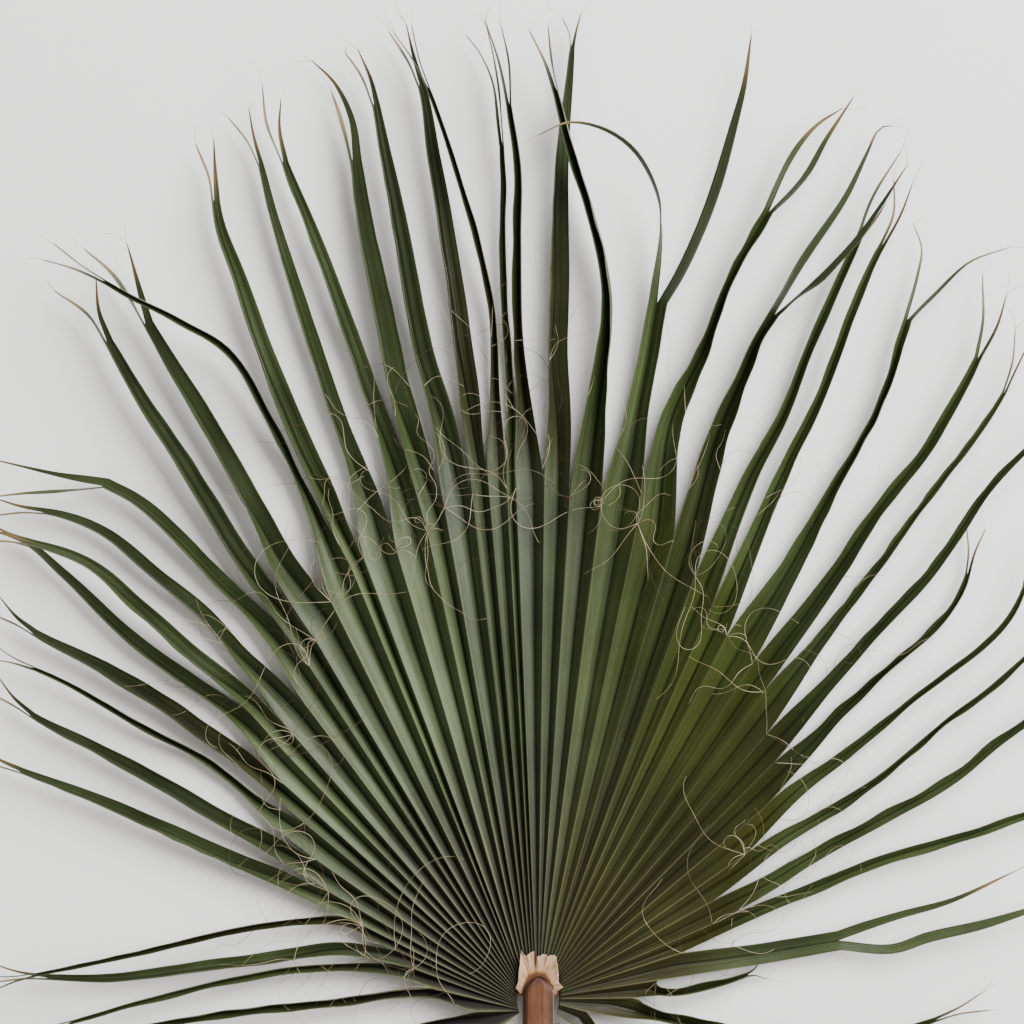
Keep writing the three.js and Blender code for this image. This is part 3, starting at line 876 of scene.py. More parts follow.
    def _edges(self, n: Nodes, colour: Socket, place: Socket) -> Socket:
        """Thin pale edges, painted shade in the trough bottoms, the paler underside, fine grain and a few
        flecks.

        Args:
            n: The material.
            colour: The colour so far.
            place: The point in the frame of the part.

        Returns:
            The colour with them.
        """
        across, free = n.attribute("across"), n.attribute("free")
        edge = n.times(n.step(across, 0.94, 1.0), n.step(free, 0.0, 0.06, 0.25, 0.45))
        colour = n.blend(edge, colour, self.edge_tan)
        # Painted shade: darker towards the trough bottoms.
        colour = n.shade(colour, n.step(across, 0.0, 0.22, 0.45, 1.0))
        colour = n.blend(n.times(n.attribute("under"), 0.8), colour, self.under_green)
        colour = n.shade(colour, n.step(n.noise(place, self.speck_scale), 0.3, 0.7, 0.82, 1.16))
        fleck = n.step(n.noise(place, self.fleck_scale, 1.0), 0.70, 0.78)
        return n.blend(n.times(fleck, 0.16), colour, self.edge_tan)

    def _dry(self, n: Nodes, colour: Socket, streak: Socket) -> Socket:
        """Dry tan and brown towards the tips, with a ragged border.

        Args:
            n: The material.
            colour: The colour so far.
            streak: Noise drawn out along the segments.

        Returns:
            The colour with them.
        """
        far = n.math("ADD", n.times(n.attribute("tone"), self.dry_more), self.dry_least)
        dry = n.math("DIVIDE", n.attribute("tip"), far)
        ragged = n.math("ADD", dry, n.times(n.math("SUBTRACT", streak, 0.5), self.dry_ragged))
        colour = n.blend(n.step(ragged, 0.25, 1.0, 1.0, 0.0), colour, self.dry_tan)
        return n.blend(n.step(ragged, 0.0, 0.5, 0.85, 0.0), colour, self.dry_brown)


@dataclass(frozen=True)
class ThreadFinish:
    """Dry tan thread, paler and darker along its length; a few threads are brown."""

    pale: Colour = (0.42, 0.36, 0.24)
    tan: Colour = (0.22, 0.165, 0.09)
    brown: Colour = (0.05, 0.028, 0.014)
    cloud_scale: float = 45.0
    speck_scale: float = 900.0
    rough: float = 0.7
    gloss: float = 0.3

    def make(self) -> bpy.types.Material:
        """Builds the material.

        Returns:
            The material of the threads.
        """
        n = Nodes("leaf_thread")
        cloud = n.noise(n.place(), self.cloud_scale)
        fine = n.noise(n.place(), self.speck_scale, 1.0)
        colour = n.blend(n.step(cloud, 0.35, 0.65), self.tan, self.pale)
        colour = n.blend(n.step(n.attribute("shade"), 0.58, 0.80), colour, self.brown)
        colour = n.shade(colour, n.step(fine, 0.3, 0.7, 0.85, 1.1))
        return n.finish(colour, self.rough, self.gloss)


@dataclass(frozen=True)
class CollarFinish:
    """Papery cream fibre with brown streaks, painted shade along a crease line, a torn brown rim, yellower
    near the stalk.
    """

    cream: Colour = (0.29, 0.165, 0.085)
    pale: Colour = (0.56, 0.37, 0.245)
    yellow: Colour = (0.38, 0.20, 0.065)
    brown: Colour = (0.070, 0.024, 0.011)
    streak_grain: Range = (46.0, 1.6)
    fibre_grain: Grain = (150.0, 3.0, 3.0)
    # Where across the collar the line of crease shade is painted, in metres.
    crease_shade_at: float = -0.0025
    rough: float = 0.85
    gloss: float = 0.25
    bump_depth: float = 0.0008
    bump_strength: float = 0.6

    def make(self) -> bpy.types.Material:
        """Builds the material.

        Returns:
            The material of the collar.
        """
        n = Nodes("leaf_collar")
        out, fibre = n.attribute("out"), n.attribute("fibre")
        x, y, _ = n.split(n.place())
        across, along = self.streak_grain
        streak = n.noise(n.join(n.times(fibre, across), n.times(out, along), 0.0), 1.0, 4.0, 0.65)
        across, along, apart = self.fibre_grain
        fine = n.noise(n.join(n.times(fibre, across), n.times(out, along), apart), 1.0)
        colour = n.blend(n.step(streak, 0.35, 0.68), self.cream, self.pale)
        colour = n.blend(n.step(fine, 0.60, 0.80, 0.0, 0.55), colour, self.brown)
        torn = n.math("ADD", out, n.times(n.math("SUBTRACT", fine, 0.5), 0.35))
        colour = n.blend(n.step(torn, 0.16, 0.55, 0.9, 0.0), colour, self.yellow)
        colour = n.blend(n.step(torn, 0.13, 0.32, 0.95, 0.0), colour, self.brown)
        low = n.step(y, 0.006, 0.018, 1.0, 0.0)
        colour = n.blend(n.times(low, n.step(streak, 0.40, 0.60)), colour, self.brown)
        # Painted shade: a dark line where the collar creases, on its outer part.
        aside = n.math("ABSOLUTE", n.math("SUBTRACT", x, self.crease_shade_at))
        fold = n.step(aside, 0.0004, 0.0024, 0.95, 0.0)
        colour = n.blend(n.times(fold, n.step(out, 0.15, 0.6)), colour, self.brown)
        n.bump(fine, self.bump_depth, self.bump_strength)
        return n.finish(colour, self.rough, self.gloss)


@dataclass(frozen=True)
class StalkFinish:
    """Reddish brown stalk with dark edges and a thin pale line along them; the head is painted dark as
    shade.
    """

    middle: Colour = (0.108, 0.046, 0.020)
    red: Colour = (0.085, 0.029, 0.012)
    dark: Colour = (0.026, 0.007, 0.004)
    pale: Colour = (0.30, 0.18, 0.12)
    grain: Grain = (420.0, 14.0, 420.0)
    cloud_scale: float = 55.0
    rough: float = 0.48
    rough_more: float = 0.15
    gloss: float = 0.28
    bump_depth: float = 0.0007
    bump_strength: float = 0.4

    def make(self) -> bpy.types.Material:
        """Builds the material.

        Returns:
            The material of the stalk.
        """
        n = Nodes("leaf_stalk")
        edge, thorn = n.attribute("edge"), n.attribute("thorn")
        place = n.place()
        ways = n.split(place)
        y = ways[1]
        strand = n.join(*[n.times(way, count) for way, count in zip(ways, self.grain)])
        streak = n.noise(strand, 1.0, 4.0, 0.6)
        cloud = n.noise(place, self.cloud_scale, 3.0)
        colour = n.blend(n.step(cloud, 0.35, 0.65), self.red, self.middle)
        colour = n.shade(colour, n.step(streak, 0.3, 0.7, 0.78, 1.22))
        colour = n.blend(n.step(edge, 0.50, 0.80, 0.0, 0.9), colour, self.dark)
        colour = n.blend(n.step(y, 0.012, 0.020, 0.0, 0.85), colour, self.dark)
        colour = n.blend(n.step(edge, 0.93, 0.985, 0.0, 0.55), colour, self.pale)
        colour = n.blend(thorn, colour, self.dark)
        n.bump(streak, self.bump_depth, self.bump_strength)
        rough = n.step(streak, 0.3, 0.7, self.rough, self.rough + self.rough_more)
        return n.finish(colour, rough, self.gloss)


@dataclass(frozen=True)
class FloorFinish:
    """Plain pale floor with a faint unevenness."""

    pale: Colour = (0.80, 0.80, 0.80)
    dim: Colour = (0.77, 0.77, 0.77)
    cloud_scale: float = 2.2
    rough: float = 0.7
    gloss: float = 0.2

    def make(self) -> bpy.types.Material:
        """Builds the material.

        Returns:
            The material of the floor.
        """
        n = Nodes("floor")
        cloud = n.noise(n.place(), self.cloud_scale, 4.0)
        colour = n.blend(n.step(cloud, 0.3, 0.7), self.dim, self.pale)
        return n.finish(colour, self.rough, self.gloss)


@dataclass(frozen=True)
class Half:
    """One half of a free segment: how its edge leaves the split and turns into the way it lies."""

    side: Side
    start: float
    goal: float
    flat: float
    width: float
    wide: float
    slide: float
    shut: float
    pinch: float
    slim: float
    turn: float
    narrow: float

    @classmethod
    def leaving(cls, side: Side, row: Segment, edge: Array, heading: Array, turn: float,
                narrow: float) -> "Half":
        """Reads the half from the split.

        Args:
            side: Which half it is.
            row: The segment.
            edge: From the gate of the midrib to the split.
            heading: Direction of the midrib at its gate.
            turn: Share of the length over which it turns into the way it lies.
            narrow: Share of the length over which it comes to its own width.

        Returns:
            The half.
        """
        right = right_of(heading[None])[0]
        level, rise = float(edge @ right), float(edge[2])
        lay, gape, share = row.lie.value
        goal = math.radians(lay - side.value * gape / 2)
        flat = math.radians(90 - side.value * row.prong_lean(side))
        slide = float(edge[:2] @ heading)
        start = math.atan2(rise, level)
        slim = row.slim[0] if side is Side.LEFT else row.slim[1]
        return cls(
            side, start, goal, flat, math.hypot(rise, level), row.wide * share, slide,
            math.radians(lay + PINCH_LEAN), row.pinch, slim, turn, narrow,
        )


@dataclass
class Habit:
    """The small irregularities of one segment."""

    tone: float
    twist: Ripple
    sway: Ripple
    ruffle: dict[Side, Ripple]
    ribs: dict[Side, Array]


@dataclass
class Blade:
    """The pleated fan with its free segments."""

    sheet: float = 0.8
    pleat_drop: float = 1.1
    pleat_steps: int = 14
    free_steps: int = 44
    prong_pitch: float = 10.0
    tip_width: float = 0.6
    fork_at: float = 0.86
    prong_spread: float = 9.0
    turn_over: float = 0.34
    narrow_over: float = 0.24
    pinch_over: Range = (0.2, 0.5)
    reopen_over: Range = (0.56, 0.76)
    reopen: float = 0.6
    lift_pace: float = 1.4
    prong_lift_pace: float = 1.2
    prong_turn: float = 45.0
    prong_lean_over: float = 60.0
    prong_lean_share: float = 0.7
    prong_least: int = 4
    sag: float = 0.06
    basal_radius: float = 110.0
    basal_pace: float = 0.4
    dry_from: float = 150.0
    green_tip: float = 60.0
    taper: float = 3.0
    hub_side: float = 21.0
    hub_front: float = 27.0
    hub_height: float = 12.0
    ground_radius: float = 340.0
    middle_split: int = 25
    left_root_step: float = 5.1
    slope_left: float = 50.0
    slope_right: float = 32.0
    slope_over: Range = (-30.0, 36.0)
    valley_shift: float = 0.13
    valley_over: Range = (-12.0, 25.0)
    station_pace: float = 1.3
    ridge_wave: Range = (0.06, 160.0)
    ruffle_height: Range = (0.2, 0.9)
    ruffle_length: Range = (40.0, 80.0)
    rib_count: float = 1.6
    rib_height: Range = (0.02, 0.055)
    rib_start: float = 0.05
    rib_end: Range = (0.85, 1.0)
    rib_inside: float = 0.12
    ruffle_end: int = 4
    twist_wave: Range = (4.0, 240.0)
    sway_wave: Range = (1.1, 240.0)
    across: Sequence[float] = (0.0, 0.05, 0.22, 0.42, 0.62, 0.82, 0.95, 1.0)
    seed: int = 11
    finish: BladeFinish = BladeFinish()
    splits: list[Array] = field(default_factory=list)
    margins: list[Array] = field(default_factory=list)
    tips: list[tuple[Array, Array]] = field(default_factory=list)

    def __post_init__(self) -> None:
        """Sets up chance and the mesh."""
        self.rng = np.random.default_rng(self.seed)
        self.mesh = SheetMesh()
        self.ratio = np.asarray(self.across, float)

    def hub_radius(self, degrees: Array) -> Array:
        """Radius of the ring where the pleats start."""
        return mix(self.hub_side, self.hub_front, np.cos(np.radians(degrees)) ** 2)

    def root_angle(self, split: int) -> float:
        """Direction in which a split leaves the hub."""
        steps = max(0, self.middle_split - split)
        return SPLITS[max(split, self.middle_split)][0] - self.left_root_step * steps

    def valley_height(self, radius: Array) -> Array:
        """Height of the trough bottoms over the ground."""
        return self.pleat_drop + self.hub_height * (1 - ease(radius, self.hub_side, self.ground_radius))

    def stations(self) -> Array:
        """Shares of the way from the hub to the split."""
        return np.linspace(0, 1, self.pleat_steps + 1) ** self.station_pace

    def ridge_line(self, k: int) -> Array:
        """The ridge that ends in a split.

        Args:
            k: Number of the split.

        Returns:
            Points of the ridge.
        """
        part = self.stations()
        angle = self.root_angle(k)
        root, end = polar(angle, self.hub_radius(angle)), polar(*SPLITS[k])
        spots = mix(root, end, column(part))
        radius = np.linalg.norm(spots, axis=1)
        near, far = max(k - 1, 0), min(k + 1, len(SPLITS) - 1)
        sides = [polar(mix(self.root_angle(s), SPLITS[s][0], part), radius) for s in (near, far)]
        pitch = np.linalg.norm(sides[0] - sides[1], axis=1) / (far - near)
        slope = mix(self.slope_left, self.slope_right, ease(SPLITS[k][0], *self.slope_over))
        uneven = 1 + Ripple.drawn(self.rng, *self.ridge_wave).at(radius) * part
        height = self.valley_height(radius) + pitch / 2 * math.tan(math.radians(slope)) * uneven
        return np.column_stack([spots, height])

    def midrib_line(self, i: int) -> Array:
        """The trough bottom of one segment inside the pleats.

        Args:
            i: Number of the segment.

        Returns:
            Points of the trough bottom.
        """
        share = 0.5 + self.valley_shift * (1 - float(ease(SPLITS[i][0], *self.valley_over)))
        angle = mix(self.root_angle(i), self.root_angle(i + 1), share)
        root = polar(angle, self.hub_radius(angle))
        gate = mix(polar(*SPLITS[i]), polar(*SPLITS[i + 1]), share)
        spots = mix(root, gate, column(self.stations()))
        return np.column_stack([spots, self.valley_height(np.linalg.norm(spots, axis=1))])

    def _from_left(self, side: Side, grid: Array) -> Array:
        """Columns of a half in order from left to right."""
        return grid[:, ::-1] if side is Side.LEFT else grid

    def _add(self, side: Side, grid: Array, drops: Array, reach: Array, tip: Array, free: Array,
             tone: float) -> None:
        """Hands one half's grid to the mesh.

        Args:
            side: Which half it is.
            grid: Its corners, from left to right.
            drops: From the upper to the lower face, from left to right.
            reach: Way from the hub at each station.
            tip: Way to the tip at each station.
            free: Share of the free part at each station.
            tone: Shade of the segment.
        """
        across = self.ratio[::-1] if side is Side.LEFT else self.ratio
        self.mesh.add(Patch(grid, drops, across, reach * MM, tip, free, tone))

    def _pleat(self, side: Side, midrib: Array, ridge: Array, tip: float, habit: Habit) -> None:
        """Adds the pleated half of one segment.

        Args:
            side: Which half it is.
            midrib: Points of the trough bottom.
            ridge: Points of the ridge.
            tip: Way from the gate to the tip.
            habit: Irregularities of the segment.
        """
        grid = midrib[:, None] + (ridge - midrib)[:, None] * self.ratio[None, :, None]
        fade = 1 - ease(self.stations(), *self.rib_end)
        depth = np.linalg.norm(ridge - midrib, axis=1) * fade
        grid = grid + UP * (column(depth) * habit.ribs[side][None, :])[..., None]
        drops = np.broadcast_to(-self.pleat_drop * UP, grid.shape)
        reach = np.linalg.norm(midrib[:, :2], axis=1)
        to_tip, free = tip + reach[-1] - reach, np.zeros(len(reach))
        self._add(side, self._from_left(side, grid), drops, reach, to_tip, free, habit.tone)

    def _habit(self) -> Habit:
        """Draws the irregularities of one segment.

        Returns:
            The irregularities.
        """
        rng = self.rng
        ruffles, ribs = {}, {}
        inside = ease(self.ratio * (1 - self.ratio), 0.0, self.rib_inside)
        for side in Side:
            height, length = rng.uniform(*self.ruffle_height), rng.uniform(*self.ruffle_length)
            ruffles[side] = Ripple.drawn(rng, height, length)
            wave = np.sin(2 * np.pi * (self.rib_count * self.ratio + rng.uniform(0, 1)))
            ribs[side] = rng.uniform(*self.rib_height) * wave * inside
        tone = rng.uniform(0, 1)
        turn, length = self.twist_wave
        twist = Ripple.drawn(rng, math.radians(turn), length)
        return Habit(tone, twist, Ripple.drawn(rng, *self.sway_wave), ruffles, ribs)

    def _plain_prong(self, line: Line, side: Side) -> Sequence[Point]:
        """A prong that follows the midrib and bends away from it.

        Args:
            line: Line of the segment.
            side: Which half goes on in the prong.

        Returns:
            Points of the prong.
        """
        part = np.array([0.5, 1.0])
        share = mix(self.fork_at, 1.0, part)
        right = right_of(line.heading(share))[:, :2]
        return line.at(share) + right * column(side.value * self.prong_spread * part**2)

    def _angle(self, half: Half, part: Array, way: Array, habit: Habit) -> Array:
        """Direction of a half along its length.

        Args:
            half: The half.
            part: Shares of the free length.
            way: Lengths from the gate.
            habit: Irregularities of its segment.

        Returns:
            The angle up from the right-hand side at each share.
        """
        settled = ease(part, 0, half.turn)
        reopened = self.reopen * ease(part, *self.reopen_over)
        closed = (1 - half.pinch) * ease(part, *self.pinch_over) * (1 - reopened)
        goal = mix(half.goal, half.shut, closed)
        return mix(half.start, goal, settled) + habit.twist.at(way) * settled

    def _width(self, half: Half, part: Array) -> Array:
        """Width of a half: it comes to its own width, then tapers to the tip."""
        full = mix(half.width, half.wide, ease(part, 0, half.narrow))
        return mix(self.tip_width, full, 1 - part**self.taper)

    def _half_grid(self, half: Half, habit: Habit, inner: Array, heading: Array, part: Array,
                   way: Array, spread: Array) -> tuple[Array, Array]:
        """Corners and drops of one half along a free stretch.

        Args:
            half: The half.
            habit: Irregularities of its segment.
            inner: Points of the midrib, or of the prong's inner edge.
            heading: Directions along the stretch.
            part: Shares of the free length.
            way: Lengths from the gate.
            spread: How far the half has leaned out as it does in a prong, from 0 to 1.

        Returns:
            The corners and the drops, from left to right.
        """
        settled = ease(part, 0, half.turn)
        right = right_of(heading)
        angle = self._angle(half, part, way, habit)
        width = self._width(half, part) * mix(1.0, half.slim, spread)
        angle = mix(angle, half.flat, spread)
        along = np.column_stack([heading, np.zeros(len(heading))])
        slide = half.slide * (1 - ease(part, 0, half.narrow))
        edge = turned(right, angle) * column(width) + along * column(slide)
        upper = turned(right, angle + half.side.value * np.pi / 2)
        sag = -self.sag * width * settled
        wave = habit.ruffle[half.side].at(way) * settled * (1 - part**self.ruffle_end)
        ratio = self.ratio[None, :]
        lift = column(sag) * 4 * ratio * (1 - ratio) + column(wave) * ratio**2
        lift = lift + column(width * ease(part, 0, self.rib_start)) * habit.ribs[half.side][None, :]
        grid = inner[:, None] + edge[:, None] * ratio[..., None] + upper[:, None] * lift[..., None]
        drop = mix(-self.pleat_drop * UP, -upper * self.sheet, column(settled))
        drops = np.repeat(drop[:, None], len(self.ratio), axis=1)
        return self._from_left(half.side, grid), self._from_left(half.side, drops)

    def _halves(self, row: Segment, line: Line, gate: Array, ends: dict[Side, Array]) -> dict[Side, Half]:
        """The two halves of one segment as they leave the splits beside it.

        Args:
            row: The segment.
            line: Line of its free part.
            gate: Point of the midrib where the free part starts.
            ends: The two splits beside it.

        Returns:
            The halves.
        """
        start = line.heading(np.array([0.0]))[0]
        pace = self.basal_pace if np.linalg.norm(gate[:2]) < self.basal_radius else 1.0
        over = self.turn_over * pace, self.narrow_over * pace
        return {side: Half.leaving(side, row, ends[side] - gate, start, *over) for side in Side}

    def _prong_lines(self, row: Segment, line: Line, fork_at: float) -> dict[Side, Line]:
        """The lines of a forked tip.

        Args:
            row: The segment.
            line: Line of its free part.
            fork_at: Share of that line where it forks.

        Returns:
            The line of each prong.
        """
        fork, found = tuple(line.at(np.array([fork_at]))[0]), {}
        for side in Side:
            points = row.prong(side) if row.left else self._plain_prong(line, side)
            found[side] = Line([fork, *[tuple(p) for p in points]])
        return found

    def _keel(self, angles: dict[Side, Array], right: Array, settled: Array) -> Array:
        """Drops under the midrib, where the undersides of the two halves meet.

        Args:
            angles: Direction of each half.
            right: Unit vectors to the right.
            settled: How far the halves have turned into the way they lie.

        Returns:
            The drops.
        """
        middle = (angles[Side.LEFT] + angles[Side.RIGHT]) / 2
        fold = (angles[Side.LEFT] - angles[Side.RIGHT]) / 2
        below = turned(right, middle) * column(-self.sheet / np.sin(fold))
        return mix(-self.pleat_drop * UP, below, column(settled))

    def _free(self, i: int, gate: Array, ends: dict[Side, Array], habit: Habit) -> dict[Side, float]:
        """Adds the free part of one segment.

        Args:
            i: Number of the segment.
            gate: Point of the midrib where the free part starts.
            ends: The two splits beside it.
            habit: Its irregularities.

        Returns:
            The free length on each side.
        """
        row = SEGMENTS[i]
        line = Line([tuple(gate[:2]), *row.path])
        fork_at = 1.0 if row.left else self.fork_at
        common, radius = line.length * fork_at, float(np.linalg.norm(gate[:2]))
        halves = self._halves(row, line, gate, ends)
        prongs = self._prong_lines(row, line, fork_at)
        lengths = {side: common + prongs[side].length for side in Side}
        fork_part = common / (sum(lengths.values()) / 2)
        share = np.linspace(0, 1, self.free_steps + 1)
        way, part, heading = share * common, share * fork_part, line.heading(share * fork_at)
        settled, right = ease(part, 0, halves[Side.LEFT].turn), right_of(heading)
        angles = {side: self._angle(halves[side], part, way, habit) for side in Side}
        lean = sum(self._width(halves[side], part) * np.cos(angles[side]) for side in Side)
        shift = -settled * lean / 2
        height = mix(gate[2], self.pleat_drop + row.lift, part**self.lift_pace)
        inner = np.column_stack([line.at(share * fork_at), height])
        inner = inner + right * column(shift + habit.sway.at(way) * settled)
        inner[0] = gate
        keel = self._keel(angles, right, settled)
        green = 0.0 if line.length > self.dry_from else self.green_tip
        for side in Side:
            half = halves[side]
            grid, drops = self._half_grid(half, habit, inner, heading, part, way, np.zeros(len(part)))
            drops = drops.copy()
            drops[:, -1 if side is Side.LEFT else 0] = keel
            self._add(side, grid, drops, radius + way, lengths[side] - way + green, part, habit.tone)
            self.margins.append(grid[:, 0 if side is Side.LEFT else -1])
            self._prong(
                half, habit, prongs[side], heading[-1], (common, fork_part, float(shift[-1])),
                (float(inner[-1, 2]), self.pleat_drop + row.tip_lift(side)), radius, green,
            )
        return lengths

    def _prong(self, half: Half, habit: Habit, line: Line, start: Array, fork: tuple[float, float, float],
               heights: tuple[float, float], radius: float, green: float) -> None:
        """Adds one prong of a forked tip.

        Args:
            half: The half that goes on in the prong.
            habit: Irregularities of its segment.
            line: Line of the prong.
            start: Direction of the segment at the fork.
            fork: Length up to the fork, its share of the whole, and the shift of the midrib there.
            heights: Heights of the fork and of the tip.
            radius: Way from the hub to the gate.
            green: Added to the way to the tip where the tip stays green.
        """
        common, fork_part, shift = fork
        count = self.prong_least + math.ceil(line.length / self.prong_pitch)
        share = np.linspace(0, 1, count)
        way, part = common + share * line.length, mix(fork_part, 1.0, share)
        heading = mix(start, line.heading(share), column(ease(share * line.length, 0, self.prong_turn)))
        heading = heading / np.linalg.norm(heading, axis=1, keepdims=True)
        inner = np.column_stack([line.at(share), mix(*heights, share**self.prong_lift_pace)])
        inner = inner + right_of(heading) * column(shift * (1 - share) + habit.sway.at(way))
        spread = ease(share * line.length, 0, self.prong_lean_over) * ease(share, 0, self.prong_lean_share)
        grid, drops = self._half_grid(half, habit, inner, heading, part, way, spread)
        tip = line.length * (1 - share) + green
        self._add(half.side, grid, drops, radius + way, tip, part, habit.tone)
        self.tips.append((inner[-1], heading[-1]))

    def build(self) -> bpy.types.Object:
        """Builds the blade.

        Returns:
            The dressed blade.
        """
        ridges = [self.ridge_line(k) for k in range(len(SPLITS))]
        self.splits = [ridge[-1] for ridge in ridges]
        for i in range(len(SEGMENTS)):
            midrib, habit = self.midrib_line(i), self._habit()
            beside = {Side.LEFT: ridges[i], Side.RIGHT: ridges[i + 1]}
            ends = {side: ridge[-1] for side, ridge in beside.items()}
            lengths = self._free(i, midrib[-1], ends, habit)
            for side in Side:
                self._pleat(side, midrib, beside[side], lengths[side], habit)
        made = self.mesh.build("leaf_blade")
        made.data.materials.append(self.finish.make())
        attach(made, "root")
        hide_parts("blade")
        return made


class TubeMesh:
    """Collects thin tubes into one mesh."""

    SIDES = 4

    def __init__(self) -> None:
        """Starts with no tube."""
        self.spots: list[Array] = []
        self.faces: list[Array] = []
        self.shades: list[Array] = []
        self.count = 0

    def add(self, path: Array, radius: Array, shade: float) -> None:
        """Adds a tube with closed ends.

        Args:
            path: Points of its middle.
            radius: Radius at each point.
            shade: A number for its colour, from 0 to 1.
        """
        way = np.gradient(path, axis=0)
        way /= np.linalg.norm(way, axis=1, keepdims=True)
        across = np.cross(way, UP)
        across /= np.maximum(np.linalg.norm(across, axis=1, keepdims=True), 1e-6)
        over = np.cross(across, way)
        angles = 2 * np.pi * np.arange(self.SIDES) / self.SIDES
        level, upright = (wave(angles)[None, :, None] for wave in (np.cos, np.sin))
        ring = level * across[:, None] + upright * over[:, None]
        spots = path[:, None] + ring * np.asarray(radius)[:, None, None]
        index = self.count + np.arange(len(path) * self.SIDES).reshape(len(path), self.SIDES)
        after = np.roll(index, -1, axis=1)
        sides = np.stack([index[:-1], index[1:], after[1:], after[:-1]], axis=2).reshape(-1, 4)
        self.spots.append(spots.reshape(-1, 3))
        self.shades.append(np.full(len(self.spots[-1]), shade))
        self.faces += [sides, index[:1], index[-1:, ::-1]]
        self.count += spots.shape[0] * self.SIDES

    def build(self, name: str) -> bpy.types.Object:
        """Makes the object of all tubes.

        Args:
            name: Name of the piece.

        Returns:
            The new object.
        """
        made = mesh_object(name, np.vstack(self.spots), np.vstack(self.faces).tolist())
        corner_value(made, "shade", np.concatenate(self.shades))
        return made


@dataclass
class Threads:
    """Curled dry threads that hang from the splits, the edges and the tips."""

    blade: Blade
    per_split: float = 2.3
    first_split: int = 2
    last_split: int = 42
    low_splits: int = 9
    low_left: float = 1.8
    per_margin: float = 1.7
    tangles: float = 0.34
    tangle_count: int = 5
    tangle_curl: float = 2.8
    tangle_spread: float = 1.5
    tangle_length: Range = (16.0, 70.0)
    tangle_rise: Range = (2.0, 8.0)
    split_spread: float = 1.1
    split_back: float = 0.25
    split_length: Range = (25.0, 190.0)
    split_rise: Range = (3.0, 11.0)
    margin_share: float = 0.42
    margin_spread: float = 0.6
    margin_length: Range = (20.0, 90.0)
    margin_rise: Range = (0.0, 5.0)
    tip_spread: float = 0.4
    tip_length: Range = (8.0, 30.0)
    tightness: float = 0.022
    bend_size: Range = (0.02, 0.085)
    bend_length: Range = (35.0, 120.0)
    rise_turn: float = 0.8
    rise_wave: Range = (1.6, 50.0)
    wave_over: float = 0.3
    straight: float = 20.0
    step: float = 2.0
    least_steps: int = 8
    radius: float = 0.24
    thickness: Range = (0.75, 1.2)
    thin_end: float = 0.5
    end_height: float = 0.75
    lowest: float = 1.0
    seed: int = 23
    finish: ThreadFinish = ThreadFinish()

    def __post_init__(self) -> None:
        """Sets up chance and the mesh."""
        self.rng = np.random.default_rng(self.seed)
        self.tubes = TubeMesh()

    def _curl(self, start: Array, angle: float, length: float, rise: float, curl: float) -> Array:
        """A curled path.

        Args:
            start: Where the thread leaves the leaf.
            angle: Direction it leaves in, from +X towards +Y.
            length: Its length.
            rise: How far it stands up from its start.
            curl: How tightly it curls, 1 for the long threads.

        Returns:
            Points of the path.
        """
        count = max(self.least_steps, int(length / self.step))
        way = np.linspace(0, length, count)
        tight = self.rng.normal(0, self.tightness)
        size, apart = self.rng.uniform(*self.bend_size), self.rng.uniform(*self.bend_length)
        ripple = Ripple.drawn(self.rng, size, apart)
        bend = curl * (tight + ripple.at(way)) * ease(way, 0, self.straight / curl**2)
        heading = angle + np.cumsum(bend) * (length / count)
        steps = np.column_stack([np.cos(heading), np.sin(heading)]) * (length / count)
        flat = start[:2] + np.vstack([[0, 0], np.cumsum(steps[:-1], axis=0)])
        share = way / length
        wave = Ripple.drawn(self.rng, *self.rise_wave).at(way) * ease(share, 0, self.wave_over)
        arch = rise * np.sin(np.pi * share * self.rise_turn)
        height = start[2] * mix(1.0, self.end_height, share) + arch + wave
        return np.column_stack([flat, np.maximum(height, self.lowest)])

    def _thread(self, start: Array, angle: float, length: float, rise: float, curl: float = 1.0) -> None:
        """Adds one thread that thins towards its end.

        Args:
            start: Where the thread leaves the leaf.
            angle: Direction it leaves in, from +X towards +Y.
            length: Its length.
            rise: How far it stands up from its start.
            curl: How tightly it curls, 1 for the long threads.
        """
        path = self._curl(start, angle, length, rise, curl)
        thick = self.radius * self.rng.uniform(*self.thickness)
        radius = thick * mix(1.0, self.thin_end, np.linspace(0, 1, len(path)))
        self.tubes.add(path, radius, self.rng.uniform(0, 1))

    def _from_splits(self) -> None:
        """Threads that hang in the splits, some of them in tangles."""
        rng = self.rng
        for k, spot in enumerate(self.blade.splits):
            if not self.first_split <= k <= self.last_split:
                continue
            outward = math.radians(90 - SPLITS[k][0])
            if rng.uniform() < self.tangles:
                for _ in range(self.tangle_count):
                    angle = outward + rng.normal(0, self.tangle_spread)
                    length, rise = rng.uniform(*self.tangle_length), rng.uniform(*self.tangle_rise)
                    self._thread(spot, angle, length, rise, self.tangle_curl)
            share = self.low_left if k < self.low_splits else 1.0
            for _ in range(rng.poisson(self.per_split * share)):
                angle = outward + rng.normal(0, self.split_spread)
                angle += math.pi if rng.uniform() < self.split_back else 0.0
                length, rise = rng.uniform(*self.split_length), rng.uniform(*self.split_rise)
                self._thread(spot, angle, length, rise)

    def _from_margins(self) -> None:
        """Threads that peel off the edges of the free parts."""
        rng = self.rng
        for margin in self.blade.margins:
            for _ in range(rng.poisson(self.per_margin)):
                j = int(rng.integers(2, max(3, int(len(margin) * self.margin_share))))
                way = margin[j] - margin[j - 1]
                angle = math.atan2(way[1], way[0]) + rng.normal(0, self.margin_spread)
                length, rise = rng.uniform(*self.margin_length), rng.uniform(*self.margin_rise)
                self._thread(margin[j], angle, length, rise)

